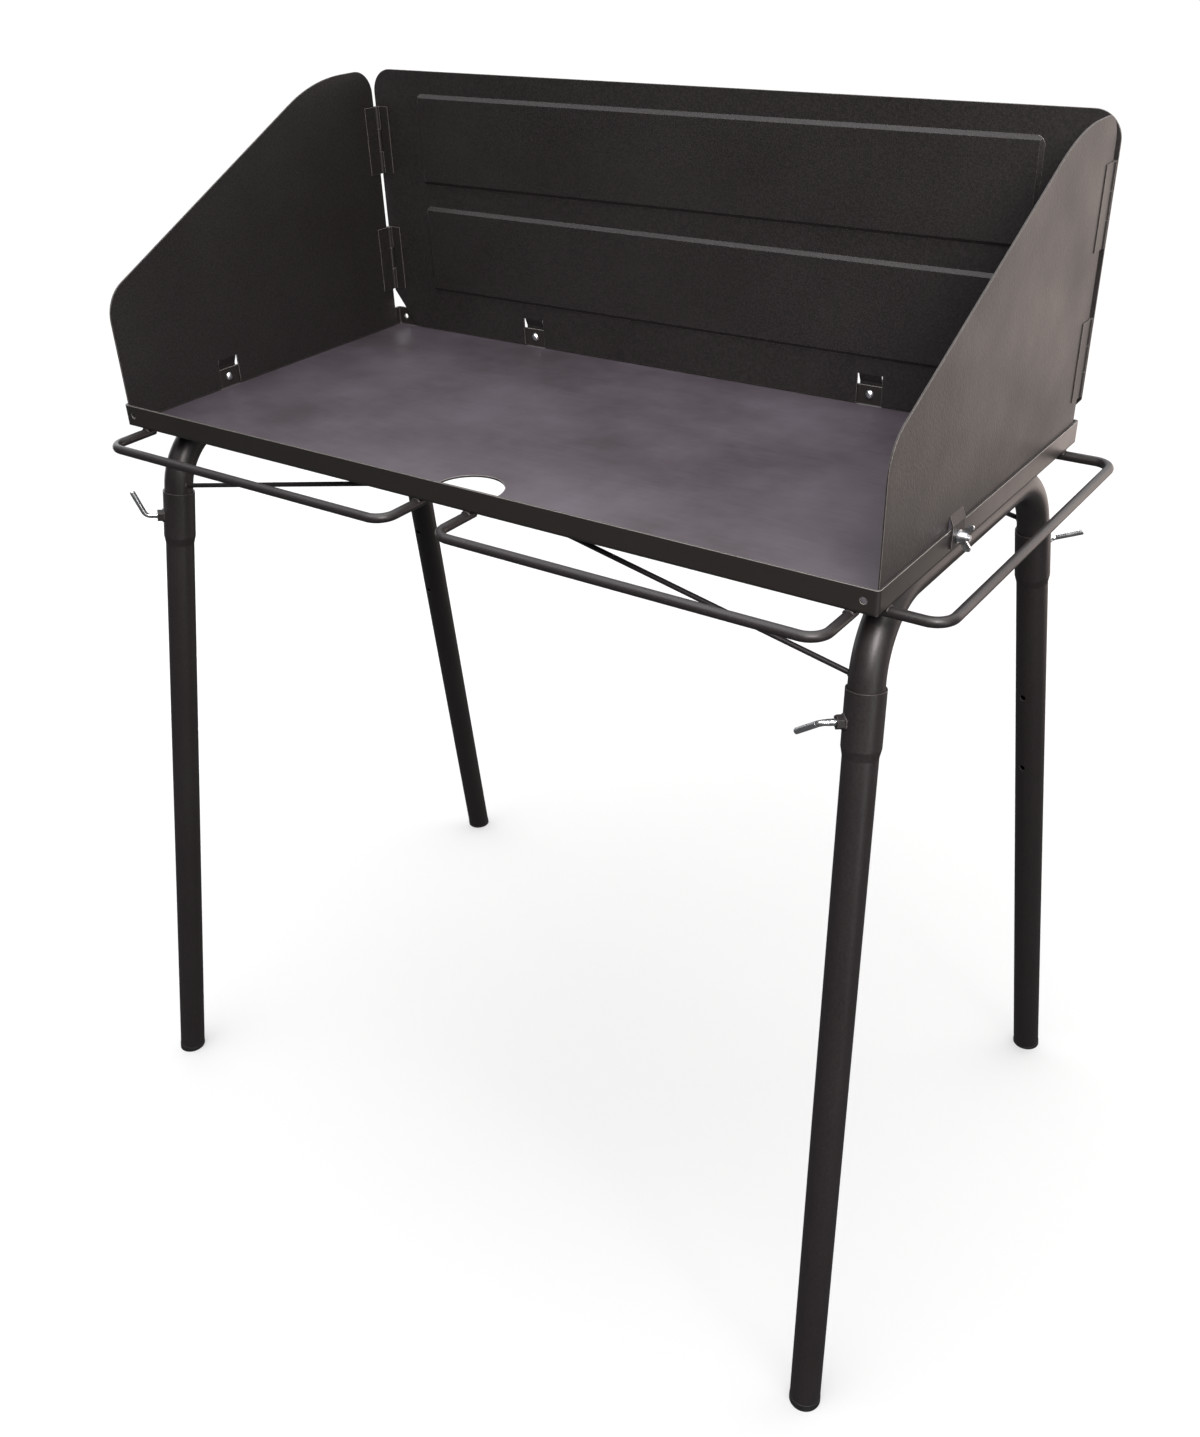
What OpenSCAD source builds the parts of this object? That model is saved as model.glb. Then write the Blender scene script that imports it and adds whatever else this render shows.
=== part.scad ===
// Cook table for dutch ovens: a steel tray with a three-sided windscreen, on two bent
// leg frames with four pull-off legs. Millimetres, +Z up, front towards -Y.
// The origin is on the floor, under the middle of the tray.

/* [Tray] */
// Width of the tray over its lips
tray_w = 900; // [760:10:1100]
// Depth of the tray over its lips
tray_d = 450; // [420:5:520]
// Height of the tray's underside above the floor
tray_under = 870.5; // [780:0.5:950]
// Thickness of the tray's sheet
tray_t = 2; // [1.5:0.1:3]
// Height of the upturned lip, from the tray's underside
lip_h = 24; // [21:0.5:30]
// Outer radius of the bend between plate and lip
lip_bend_r = 4; // [3.5:0.5:6]
// Outer radius of the lip's upright corners
lip_corner_r = 4; // [4:0.5:9]
// Diameter of the ash hole
ash_d = 72; // [50:1:90]
// Flat plate left between the front lip and the ash hole
ash_margin = 3; // [2.5:0.5:8]
// Diameter of the hanging holes in the front and back lips
hang_hole_d = 6; // [4:0.5:8]
// Distance of the hanging holes from the tray's ends
hang_hole_in = 13; // [12:0.5:16]

/* [Leg frames] */
// Outer diameter of the leg tube
tube_d = 32; // [28:0.5:36]
// Wall of the leg tube
tube_t = 1.5; // [1.2:0.1:2]
// Distance of a frame's top tube from the tray's end, to the tube's middle
frame_in = 24; // [21:1:35]
// Distance of a leg's line from the tray's front or back edge, at the top tube's height
leg_in = 45; // [35:1:60]
// Radius of the tube's bends, on the tube's middle line
bend_r = 75; // [65:1:85]
// Straight tube that shows between a bend and the leg's socket
stub_free = 5; // [3.5:0.5:20]
// Outward lean of each leg frame, in degrees
splay_side = 3.6; // [1:0.1:6]
// Forward and backward lean of the legs, in degrees
splay_fore = 9.1; // [6:0.1:12]

/* [Brace rods] */
// Diameter of the brace rods
brace_d = 5; // [4:0.5:7]
// Height of a brace's lower weld above the leg's socket, along the leg
brace_up = 6; // [5:0.5:14]
// Distance from the tray's middle to the bend where a brace meets the plate
brace_inner = 66; // [66:1:140]
// Length of the flat tail that is welded under the plate
brace_tail = 22; // [15:1:24]
// Radius of the brace's bend
brace_bend_r = 15; // [10:1:30]

/* [Rails] */
// Diameter of the rail rod
rail_d = 9.4; // [8:0.2:12]
// Reach of a rail past the tray's edge, to the rod's middle
rail_reach = 47; // [40:1:80]
// Distance of the outer arms from the tray's corners
rail_in = 26; // [22:1:30]
// Gap between the inner arms of the two front rails
rail_gap = 62; // [40:1:80]
// Radius of the rail's bends, on the rod's middle line
rail_bend_r = 18; // [12:1:26]
// Length of each arm that is welded under the plate
rail_under = 13; // [9:0.5:13]

/* [Windscreen] */
// Thickness of the screen's sheet
screen_t = 1.5; // [1:0.1:2]
// Height of the screen above the plate
screen_h = 304.5; // [285:0.5:340]
// Height of a wing at its front corner
wing_front_h = 135.5; // [110:0.5:160]
// Level top of a wing, up to its back corner
wing_top = 95; // [90:1:140]
// Radius of the wing's front corner
wing_front_r = 42; // [20:1:50]
// Radius of the curve between a wing's slope and its level top
wing_crest_r = 200; // [100:5:230]
// Radius of the upper corners beside the hinges
screen_corner_r = 27; // [15:1:35]
// Width of the cut at the lower corners of the back screen
corner_cut_w = 32; // [24:1:40]
// Height of the same cut above the plate
corner_cut_h = 43.5; // [30:0.5:45]
// Height of the two embossed fields of the back screen
emboss_field_h = 101; // [80:1:105]
// Depth of the embossing
emboss_h = 3; // [1.5:0.5:4]
// Width of the sloping border of an embossed field
emboss_bevel = 4; // [3:0.5:8]
// Distance of the fields from the screen's ends
emboss_side = 68; // [60:1:110]
// Distance of the upper field from the screen's top
emboss_top = 25; // [20:1:30]
// Distance between the two fields
emboss_gap = 26; // [15:1:30]
// Corner radius of an embossed field
emboss_r = 9; // [6:0.5:15]

/* [Clamping tabs] */
// Width of a tab that is lanced out of the screen
tab_w = 26; // [20:1:34]
// Width of the slits beside a tab
slit_w = 1.6; // [1:0.1:2.5]
// Height of a tab's root above the lip
tab_rise = 12; // [9:0.5:18]
// Height above the lip where the tab turns down
tab_turn = 3; // [2.5:0.5:5]
// Distance of the tab's lower end above the plate
tab_end_up = 4.5; // [2:0.5:5.5]
// Distance of a wing's tab from the tray's front edge, to the tab's middle
wing_tab_in = 150; // [110:1:200]
// Distance of the back tabs from the tray's ends, to the tab's middle
back_tab_in = 225; // [150:1:280]

/* [Screen bolts] */
// Diameter of the screen bolts
bolt_d = 5; // [4:0.5:6]
// Height of the bolts above the tray's underside
bolt_up = 14; // [13:0.5:15]
// Diameter of the domed bolt heads
bolt_head_d = 9.5; // [8.5:0.5:11]
// Height of the domed bolt heads
bolt_head_h = 3; // [2:0.5:3.5]
// Bolt that stands out past the wing nut's hub
bolt_end = 3; // [2:0.5:8]
// Diameter of the washers
washer_d = 12; // [11:0.5:15]
// Thickness of the washers
washer_t = 1; // [0.8:0.1:2]
// Height of a wing nut's hub
wing_nut_h = 6.5; // [5:0.5:9]
// Diameter of a wing nut's hub at its base
wing_nut_hub_d = 10; // [9:0.5:12]
// Reach of a wing nut's ears from its axis
wing_nut_reach = 11.5; // [10.5:0.5:14]
// Height of the ears over the hub's base
wing_nut_ear_h = 11; // [10:0.5:14]
// Thickness of the ears
wing_nut_ear_t = 2; // [1.5:0.1:2.5]

/* [Hinges] */
// Length of each hinge
hinge_l = 76; // [60:1:90]
// Height of the lower hinges above the plate
hinge_low = 47; // [46:1:60]
// Distance of the upper hinges below the screen's top
hinge_top = 41.5; // [36:0.5:50]
// Reach of the wing's leaf from the pin
wing_leaf_w = 21.5; // [16:0.5:28]
// Reach of the back screen's leaf from the pin
screen_leaf_w = 16; // [12:0.5:22]
// Thickness of the leaves
leaf_t = 1; // [0.8:0.1:1.5]
// Diameter of the hinge pins
pin_d = 4; // [3:0.5:5]
// Wall of the knuckles
knuckle_t = 1; // [0.8:0.1:1.5]
// Gap between neighbouring knuckles
knuckle_gap = 0.5; // [0.3:0.1:1]
// Gap between a knuckle and the wing's back edge
hinge_gap = 1.7; // [1:0.1:3]

/* [Legs] */
// Length of the expanded socket, down to its taper
socket_l = 53; // [46:1:70]
// Length of the socket's taper
swage_l = 9; // [6:1:15]
// Diameter of the two holes on a leg's inner side
leg_hole_d = 7; // [5:0.5:9]
// Distance of the upper hole below the socket's mouth
leg_hole_down = 205; // [120:1:260]
// Distance between the two holes
leg_hole_pitch = 100; // [60:1:120]
// Least thickness of a foot cap's sole
cap_sole = 2; // [1.5:0.5:4]
// Length of a foot cap's plug inside the tube
cap_plug = 18; // [12:1:30]
// How far a foot cap's rim stands out past the tube
cap_rim = 0.4; // [0.2:0.1:1]

/* [Thumb screws] */
// Diameter of the thumb screws
screw_d = 6; // [5:0.5:8]
// Distance of the screws below the socket's mouth
screw_down = 29.5; // [20:0.5:34]
// Width of the weld nut over its flats
clamp_nut_af = 12; // [11:0.5:14]
// Height of the weld nut over the socket's wall
clamp_nut_h = 6.5; // [5:0.5:9]
// Screw between the weld nut and the start of the bend
screw_neck = 8; // [4:0.5:14]
// Bend of the handle away from the screw's axis, in degrees
handle_angle = 63; // [40:1:80]
// Radius of the handle's bend, on the rod's middle line
handle_bend_r = 8; // [7:0.5:12]
// Length of the handle past its bend
handle_l = 26; // [15:1:40]
// Chamfer at the handle's end
handle_chamfer = 0.8; // [0.4:0.1:1.5]

/* [Turned as stored] */
// Turn of the front left leg about its own line, in degrees
turn_front_left = -37; // [-60:1:60]
// Turn of the front right leg
turn_front_right = -46; // [-60:1:60]
// Turn of the back left leg
turn_back_left = -3; // [-60:1:60]
// Turn of the back right leg
turn_back_right = -11; // [-60:1:60]
// Turn of the front left handle about its screw, in degrees
handle_front_left = 0; // [-180:1:180]
// Turn of the front right handle
handle_front_right = 125; // [-180:1:180]
// Turn of the back left handle
handle_back_left = 40; // [-180:1:180]
// Turn of the back right handle
handle_back_right = 75; // [-180:1:180]

// Turn of the left wing's wing nut about its bolt, in degrees
nut_left = 62; // [-180:1:180]
// Turn of the right wing's wing nut
nut_right = 80; // [-180:1:180]
// Turn of the left wing nut of the back screen
nut_back_left = 104; // [-180:1:180]
// Turn of the right wing nut of the back screen
nut_back_right = 35; // [-180:1:180]

/* [Fits] */
// Gap between the screen's sheets and what they stand beside
fit_gap = 0.2; // [0.1:0.05:0.4]
// Radial gap between a leg's socket and the tube inside it
socket_gap = 0.3; // [0.2:0.05:0.5]
// Radial running gap of pins, bolts and screws in what turns on them
run_gap = 0.05; // [0.03:0.01:0.1]
// Gap at welds and at plugs that stay put
weld_gap = 0.05; // [0.02:0.01:0.1]
// Side gap between a bolt and the tab's slot
slot_gap = 0.4; // [0.3:0.1:0.8]

/* [Hidden] */
$fn = 48;

black = "#1b1a1a";
plate_grey = "#3a363c";
zinc = "#c9ccd0";
cap_black = "#111111";

LEFT = -1;
RIGHT = 1;
FRONT = -1;
BACK = 1;
past = 1;

// A bent rod is a hair slimmer in its bends, and its straights lap a little into them
bend_neck = 0.2;
bend_lap = 0.3;

plate_top = tray_under + tray_t;
lip_top = tray_under + lip_h;
ash_y = -tray_d / 2 + lip_bend_r + ash_margin + ash_d / 2;

// Faces of the screen's sheets that look at the lip
side_face = tray_w / 2 - tray_t - fit_gap;
back_face = tray_d / 2 - tray_t - fit_gap;
screen_bottom = plate_top + lip_bend_r - tray_t;
screen_top = plate_top + screen_h;
window_top = lip_top + tab_rise;
field_w = tray_w - 2 * emboss_side;
wing_tab_y = -tray_d / 2 + wing_tab_in;
back_tab_x = tray_w / 2 - back_tab_in;
bolt_z = tray_under + bolt_up;

// A tab's two faces, counted outwards from the screen's outer face
tab_in = 2 * fit_gap + tray_t;
tab_out = tab_in + screen_t;
washer_at = tab_out + fit_gap;
wing_nut_at = washer_at + washer_t + fit_gap;

// Hinge pins stand between the wings' back edges and the back screen
knuckle_r = pin_d / 2 + run_gap + knuckle_t;
pin_x = side_face - screen_t / 2;
pin_y = back_face - screen_t - knuckle_r - weld_gap;
wing_back = pin_y - knuckle_r - hinge_gap;
wing_front = -tray_d / 2 + lip_corner_r;
knuckle_l = (hinge_l - 2 * knuckle_gap) / 3;
hinge_pitch = screen_h - hinge_top - hinge_l - hinge_low;

// Leg lines: a knee where the top tube's and the leg's middle lines cross
frame_x = tray_w / 2 - frame_in;
frame_z = tray_under - weld_gap - tube_d / 2;
knee_y = tray_d / 2 - leg_in;
bend_turn = 90 - splay_fore;
bend_len = bend_r * tan(bend_turn / 2);
socket_s = bend_len + stub_free;
stub_s = socket_s + socket_l;
leg_drop = cos(splay_fore) * cos(splay_side);
floor_s = frame_z / leg_drop;
leg_tilt = acos(leg_drop);
cap_r = tube_d / 2 + cap_rim;
leg_end_s = floor_s - cap_sole - cap_r * tan(leg_tilt);
socket_ri = tube_d / 2 + socket_gap;
socket_ro = socket_ri + tube_t;
screw_s = socket_s + screw_down;
brace_s = socket_s - brace_up;

// Where a brace's middle line meets the leg's, and its height there
brace_y = knee_y + brace_s * sin(splay_fore);
brace_x = frame_x + brace_s * cos(splay_fore) * sin(splay_side);
brace_low = frame_z - brace_s * leg_drop;
brace_high = tray_under - weld_gap - brace_d / 2;

// Rails, each a run with two arms
rail_z = tray_under - weld_gap - rail_d / 2;
rail_depth = rail_reach + rail_under;
front_rail_l = tray_w / 2 - rail_in - rail_gap / 2;
front_rail_x = rail_gap / 2 + front_rail_l / 2;
side_rail_l = tray_d - 2 * rail_in;

// Flat outlines

function unit(v) = v / norm(v);

// What a rounding of radius r takes off the convex corner p between its neighbours a and b
module corner_off(a, p, b, r) {
    u = unit(a - p);
    v = unit(b - p);
    half = acos(u * v) / 2;
    centre = p + unit(u + v) * r / sin(half);
    difference() {
        polygon([p, p + u * r / tan(half), centre, p + v * r / tan(half)]);
        translate(centre) circle(r);
    }
}

// Convex outline with one rounding radius for each corner, 0 for a sharp one
module rounded_outline(points, radii) {
    n = len(points);
    difference() {
        polygon(points);
        for (i = [0 : n - 1])
            if (radii[i] > 0)
                corner_off(points[(i + n - 1) % n], points[i], points[(i + 1) % n], radii[i]);
    }
}

module rounded_rectangle(w, d, r) {
    rounded_outline([[-w / 2, -d / 2], [w / 2, -d / 2], [w / 2, d / 2], [-w / 2, d / 2]], [r, r, r, r]);
}

// Upright rectangle on the origin whose two lower corners are round
module round_bottomed(w, h, r) {
    rounded_outline([[-w / 2, 0], [w / 2, 0], [w / 2, h], [-w / 2, h]], [r, r, 0, 0]);
}

// Bent rods and tubes

// Rod of diameter d along flat points, bent to radius r on its middle line at each inner
// point, with its two ends drawn out by over
module bent_rod(path, r, d, over = 0) {
    n = len(path);
    dirs = [for (i = [0 : n - 2]) unit(path[i + 1] - path[i])];
    turns = [for (i = [1 : n - 2]) let (a = dirs[i - 1], b = dirs[i])
        atan2(a.x * b.y - a.y * b.x, a.x * b.x + a.y * b.y)];
    bends = [for (turn = turns) r * tan(abs(turn) / 2)];
    starts = [for (i = [0 : n - 2]) i == 0 ? -over : bends[i - 1] - bend_lap];
    stops = [for (i = [0 : n - 2]) i == n - 2 ? -over : bends[i] - bend_lap];
    for (i = [0 : n - 2])
        translate(path[i] + dirs[i] * starts[i])
            rotate([0, 0, atan2(dirs[i].y, dirs[i].x)])
                rotate([0, 90, 0])
                    cylinder(d = d, h = norm(path[i + 1] - path[i]) - starts[i] - stops[i]);
    for (i = [1 : n - 2]) {
        turn = turns[i - 1];
        across = sign(turn) * [-dirs[i - 1].y, dirs[i - 1].x];
        centre = path[i] - dirs[i - 1] * bends[i - 1] + across * r;
        start = atan2(-across.y, -across.x);
        translate(centre)
            rotate([0, 0, turn > 0 ? start : start + turn])
                rotate_extrude(angle = abs(turn))
                    translate([r, 0])
                        circle(d = d - bend_neck);
    }
}

// Places

module both_sides() {
    children();
    mirror([1, 0, 0]) children();
}

// A leg frame's own plane: origin in the middle of its top tube, leaning outwards
module at_frame(side) {
    translate([side * frame_x, 0, frame_z])
        rotate([0, -side * splay_side, 0])
            children();
}

// A leg's own line: origin at the knee, -Z down along the leg
module at_leg(side, end) {
    at_frame(side)
        translate([0, end * knee_y, 0])
            rotate([end * splay_fore, 0, 0])
                children();
}

// A thumb screw's own line: origin on the leg's line, +X outwards along the screw
module at_screw(side, end, turn) {
    at_leg(side, end)
        translate([0, 0, -screw_s])
            rotate([0, 0, turn + end * 90])
                children();
}

// Walls of the screen: origin at the sheet's outer face, +Y outwards
module at_back_wall() {
    translate([0, back_face, 0]) children();
}

module at_left_wall() {
    translate([-side_face, 0, 0]) rotate([0, 0, 90]) children();
}

module at_right_wall() {
    translate([side_face, 0, 0]) rotate([0, 0, -90]) children();
}

// The four clamping places, each with its origin at the bolt on the sheet's outer face
module at_left_bolt() {
    at_left_wall() translate([wing_tab_y, 0, bolt_z]) children();
}

module at_right_bolt() {
    at_right_wall() translate([-wing_tab_y, 0, bolt_z]) children();
}

module at_back_bolt(side) {
    at_back_wall() translate([side * back_tab_x, 0, bolt_z]) children();
}

module at_each_bolt() {
    at_left_bolt() children();
    at_right_bolt() children();
    at_back_bolt(LEFT) children();
    at_back_bolt(RIGHT) children();
}

// Cylinder along +Y from y0 to y1
module along_y(d, y0, y1) {
    translate([0, y0, 0]) rotate([-90, 0, 0]) cylinder(d = d, h = y1 - y0);
}

// Tray

// Block with round upright corners and a round bottom edge
module pan_block(w, d, h, corner_r, edge_r) {
    intersection() {
        linear_extrude(h) rounded_rectangle(w, d, corner_r);
        rotate([90, 0, 0])
            translate([0, 0, -d / 2 - past])
                linear_extrude(d + 2 * past)
                    round_bottomed(w, h, edge_r);
        rotate([90, 0, 90])
            translate([0, 0, -w / 2 - past])
                linear_extrude(w + 2 * past)
                    round_bottomed(d, h, edge_r);
    }
}

module cook_tray() {
    color(plate_grey)
        difference() {
            translate([0, 0, tray_under])
                pan_block(tray_w, tray_d, lip_h, lip_corner_r, lip_bend_r);
            translate([0, 0, plate_top])
                pan_block(
                    tray_w - 2 * tray_t, tray_d - 2 * tray_t, lip_h,
                    lip_corner_r - tray_t, lip_bend_r - tray_t);
            translate([0, ash_y, tray_under - past])
                cylinder(d = ash_d, h = tray_t + 2 * past);
            both_sides()
                for (end = [FRONT, BACK])
                    translate([tray_w / 2 - hang_hole_in, end * tray_d / 2, (plate_top + lip_top) / 2])
                        along_y(hang_hole_d, -tray_t - past, tray_t + past);
            at_each_bolt()
                along_y(bolt_d + 2 * slot_gap, 0, tab_in + past);
        }
}

// Leg frames, braces and rails

// The bent tube's middle line in the frame's plane, from stub to stub
function frame_path() = [
    for (end = [FRONT, BACK], s = end == FRONT ? [stub_s, 0] : [0, stub_s])
        [end * (knee_y + s * sin(splay_fore)), -s * cos(splay_fore)]
];

module leg_frame(side) {
    color(black)
        at_frame(side)
            rotate([90, 0, 90])
                difference() {
                    bent_rod(frame_path(), bend_r, tube_d);
                    bent_rod(frame_path(), bend_r, tube_d - 2 * tube_t, past);
                }
}

// Rod from the leg up to the plate's underside, its lower end coped to the tube
module brace(side, end) {
    path = [[brace_x, brace_low], [brace_inner, brace_high], [brace_inner - brace_tail, brace_high]];
    color(black)
        difference() {
            mirror([side == LEFT ? 1 : 0, 0, 0])
                translate([0, end * brace_y, 0])
                    rotate([90, 0, 0])
                        bent_rod(path, brace_bend_r, brace_d);
            at_leg(side, end)
                translate([0, 0, -stub_s])
                    cylinder(d = tube_d + 2 * weld_gap, h = stub_s);
        }
}

// U-shaped rail: its run of length l lies along X, its arms go +Y by depth
module rail(l, depth) {
    color(black)
        bent_rod([[-l / 2, depth], [-l / 2, 0], [l / 2, 0], [l / 2, depth]], rail_bend_r, rail_d);
}

module front_rail(side) {
    translate([side * front_rail_x, -tray_d / 2 - rail_reach, rail_z])
        rail(front_rail_l, rail_depth);
}

module side_rail() {
    translate([tray_w / 2 + rail_reach, 0, rail_z])
        rotate([0, 0, 90])
            rail(side_rail_l, rail_depth);
}

// Windscreen

// Stands a flat outline up as a sheet behind the wall's outer face
module sheet() {
    rotate([90, 0, 0]) linear_extrude(screen_t) children();
}

module tab_window(u) {
    translate([u - tab_w / 2 - slit_w, 0])
        square([tab_w + 2 * slit_w, window_top]);
}

// Tab that leaves the sheet at its root, steps out over the lip and hangs down outside it,
// with a slot that is open at its lower end so that it lifts off the bolt
module clamping_tab(u) {
    turn = lip_top + tab_turn;
    low = plate_top + tab_end_up;
    profile = [
        [-screen_t, window_top], [0, window_top],
        [tab_out, turn], [tab_out, low],
        [tab_in, low], [tab_in, turn]
    ];
    slot = bolt_d + 2 * slot_gap;
    translate([u, 0, 0])
        difference() {
            translate([-tab_w / 2, 0, 0])
                rotate([90, 0, 90])
                    linear_extrude(tab_w)
                        polygon(profile);
            translate([0, 0, bolt_z]) along_y(slot, 0, tab_out + past);
            translate([-slot / 2, 0, low - past]) cube([slot, tab_out + past, bolt_z - low + past]);
        }
}

function wing_points() = [
    [wing_front, screen_bottom],
    [wing_front, plate_top + wing_front_h],
    [wing_back - wing_top, screen_top],
    [wing_back, screen_top],
    [wing_back, screen_bottom]
];

module wing() {
    color(black)
        at_left_wall() {
            sheet()
                difference() {
                    rounded_outline(wing_points(), [0, wing_front_r, wing_crest_r, screen_corner_r, 0]);
                    tab_window(wing_tab_y);
                }
            clamping_tab(wing_tab_y);
        }
}

// Flat block that tapers on all four sides, w by h at y = 0 and narrower at y = -depth
module field_block(w, h, depth) {
    intersection() {
        sheared_bar(w, depth, h);
        rotate([0, 90, 0]) sheared_bar(h, depth, w);
        rotate([90, 0, 0]) linear_extrude(depth) rounded_rectangle(w, h, emboss_r);
    }
}

// Bar along Z whose width falls from w at y = 0 by the embossing's bevel at y = -depth
module sheared_bar(w, depth, l) {
    narrow = w / 2 - emboss_bevel;
    translate([0, 0, -l / 2 - past])
        linear_extrude(l + 2 * past)
            polygon([[-w / 2, 0], [w / 2, 0], [narrow, -depth], [-narrow, -depth]]);
}

module at_each_field() {
    for (i = [0, 1])
        translate([0, 0, screen_top - emboss_top - emboss_field_h / 2 - i * (emboss_field_h + emboss_gap)])
            children();
}

module back_screen() {
    half = tray_w / 2;
    cut = plate_top + corner_cut_h;
    outline = [
        [corner_cut_w - half, screen_bottom], [half - corner_cut_w, screen_bottom],
        [half, cut], [half, screen_top],
        [-half, screen_top], [-half, cut]
    ];
    color(black)
        at_back_wall() {
            difference() {
                union() {
                    sheet()
                        difference() {
                            rounded_outline(outline, [0, 0, 0, screen_corner_r, screen_corner_r, 0]);
                            for (side = [LEFT, RIGHT])
                                tab_window(side * back_tab_x);
                        }
                    translate([0, -screen_t, 0])
                        at_each_field() field_block(field_w, emboss_field_h, emboss_h);
                }
                at_each_field() field_block(field_w, emboss_field_h, emboss_h);
            }
            for (side = [LEFT, RIGHT])
                clamping_tab(side * back_tab_x);
        }
}

// Hinges, made for the left corner

// The pin's line in the left back corner, from the bottom of the lower or upper hinge
module at_pin(up) {
    translate([-pin_x, pin_y, plate_top + hinge_low + up * hinge_pitch]) children();
}

module knuckle(i) {
    translate([0, 0, i * (knuckle_l + knuckle_gap)]) cylinder(r = knuckle_r, h = knuckle_l);
}

// Strip folded round the pin, its two flaps on both faces of the wing
module wing_leaf(up) {
    clear_y = knuckle_r + hinge_gap / 4;
    color(black)
        at_pin(up)
            difference() {
                union() {
                    for (face = [-screen_t / 2 - leaf_t, screen_t / 2]) {
                        translate([face, -wing_leaf_w, 0]) cube([leaf_t, wing_leaf_w - clear_y, hinge_l]);
                        translate([face, -clear_y - past, knuckle_l + knuckle_gap])
                            cube([leaf_t, clear_y + past, knuckle_l]);
                    }
                    knuckle(1);
                }
                translate([0, 0, -past]) cylinder(d = pin_d + 2 * run_gap, h = hinge_l + 2 * past);
            }
}

// Strip on the back screen's face that runs into two knuckles
module screen_leaf(up) {
    clear_x = knuckle_r + hinge_gap / 4;
    face = knuckle_r + weld_gap - leaf_t;
    color(black)
        at_pin(up)
            difference() {
                union() {
                    translate([clear_x, face, 0])
                        cube([screen_leaf_w - clear_x, leaf_t - weld_gap, hinge_l]);
                    for (i = [0, 2]) {
                        knuckle(i);
                        translate([0, face, i * (knuckle_l + knuckle_gap)])
                            cube([clear_x + past, leaf_t - weld_gap, knuckle_l]);
                    }
                }
                translate([0, 0, -past]) cylinder(d = pin_d + 2 * run_gap, h = hinge_l + 2 * past);
            }
}

module hinge_pin(up) {
    color(black) at_pin(up) cylinder(d = pin_d, h = hinge_l);
}

module mirrored(side) {
    mirror([side == RIGHT ? 1 : 0, 0, 0]) children();
}

// Screen bolts, washers and wing nuts

// Domed head inside the lip, shank out through lip, tab and nut
module screen_bolt() {
    head_at = fit_gap;
    shank_end = wing_nut_at + wing_nut_h + bolt_end;
    dome_r = (pow(bolt_head_d / 2, 2) + pow(bolt_head_h, 2)) / (2 * bolt_head_h);
    translate([0, head_at, 0])
        rotate([90, 0, 0])
            rotate_extrude()
                intersection() {
                    translate([0, bolt_head_h - dome_r]) circle(dome_r);
                    square([bolt_head_d, bolt_head_h]);
                }
    along_y(bolt_d, head_at, shank_end);
}

module screen_bolts() {
    color(zinc) at_each_bolt() screen_bolt();
}

module screen_washers() {
    color(zinc)
        at_each_bolt()
            difference() {
                along_y(washer_d, washer_at, washer_at + washer_t);
                along_y(bolt_d + 2 * run_gap, washer_at - past, washer_at + washer_t + past);
            }
}

// Tapered hub with two ears that lean outwards
module wing_nut(turn) {
    hub_top = wing_nut_hub_d * 0.8;
    root = bolt_d / 2 + run_gap;
    ear = [
        [root, 1], [wing_nut_hub_d / 2, 1],
        [wing_nut_reach, wing_nut_h], [wing_nut_reach, wing_nut_ear_h],
        [wing_nut_reach - 4, wing_nut_ear_h], [root, wing_nut_h]
    ];
    color(zinc)
        translate([0, wing_nut_at, 0])
            rotate([0, turn, 0])
                difference() {
                    union() {
                        rotate([-90, 0, 0]) cylinder(d1 = wing_nut_hub_d, d2 = hub_top, h = wing_nut_h);
                        for (ear_at = [0, 180])
                            rotate([0, ear_at, 0])
                                translate([0, 0, -wing_nut_ear_t / 2])
                                    linear_extrude(wing_nut_ear_t)
                                        rounded_outline(ear, [0, 0.8, 2, 1.6, 1.6, 0]);
                    }
                    along_y(bolt_d + 2 * run_gap, -past, wing_nut_ear_h + past);
                }
}

// Legs

// Tube with an expanded socket at its top, a hole for the screw and two holes on the inner side
module leg(side, end, turn) {
    tube_r = tube_d / 2;
    swage_s = socket_s + socket_l;
    profile = [
        [socket_ri, -socket_s], [socket_ro, -socket_s],
        [socket_ro, -swage_s], [tube_r, -swage_s - swage_l],
        [tube_r, -leg_end_s], [tube_r - tube_t, -leg_end_s],
        [tube_r - tube_t, -swage_s - swage_l], [socket_ri, -swage_s]
    ];
    color(black)
        difference() {
            at_leg(side, end) rotate_extrude() polygon(profile);
            at_screw(side, end, turn)
                rotate([0, 90, 0]) cylinder(d = screw_d + 2 * slot_gap, h = socket_ro + past);
            for (i = [0, 1])
                at_screw(side, end, turn)
                    translate([0, 0, screw_down - leg_hole_down - i * leg_hole_pitch])
                        rotate([0, -90, 0]) cylinder(d = leg_hole_d, h = tube_r + past);
        }
}

// Plug with a sole that is cut level with the floor
module foot_cap(side, end) {
    color(cap_black)
        difference() {
            at_leg(side, end) {
                translate([0, 0, -leg_end_s - tube_d]) cylinder(r = cap_r, h = tube_d);
                translate([0, 0, -leg_end_s]) cylinder(r = tube_d / 2 - tube_t - weld_gap, h = cap_plug);
            }
            translate([-tray_w, -tray_d * 2, -2 * tube_d]) cube([2 * tray_w, 4 * tray_d, 2 * tube_d]);
        }
}

// Hexagon nut with its base hollowed to sit on the socket
module clamp_nut(side, end, turn) {
    color(black)
        at_screw(side, end, turn)
            difference() {
                rotate([0, 90, 0])
                    cylinder(d = clamp_nut_af / cos(30), h = socket_ro + clamp_nut_h, $fn = 6);
                rotate([0, 90, 0]) cylinder(d = screw_d + 2 * run_gap, h = socket_ro + clamp_nut_h + past);
                translate([0, 0, -clamp_nut_af]) cylinder(r = socket_ro, h = 2 * clamp_nut_af);
            }
}

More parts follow.
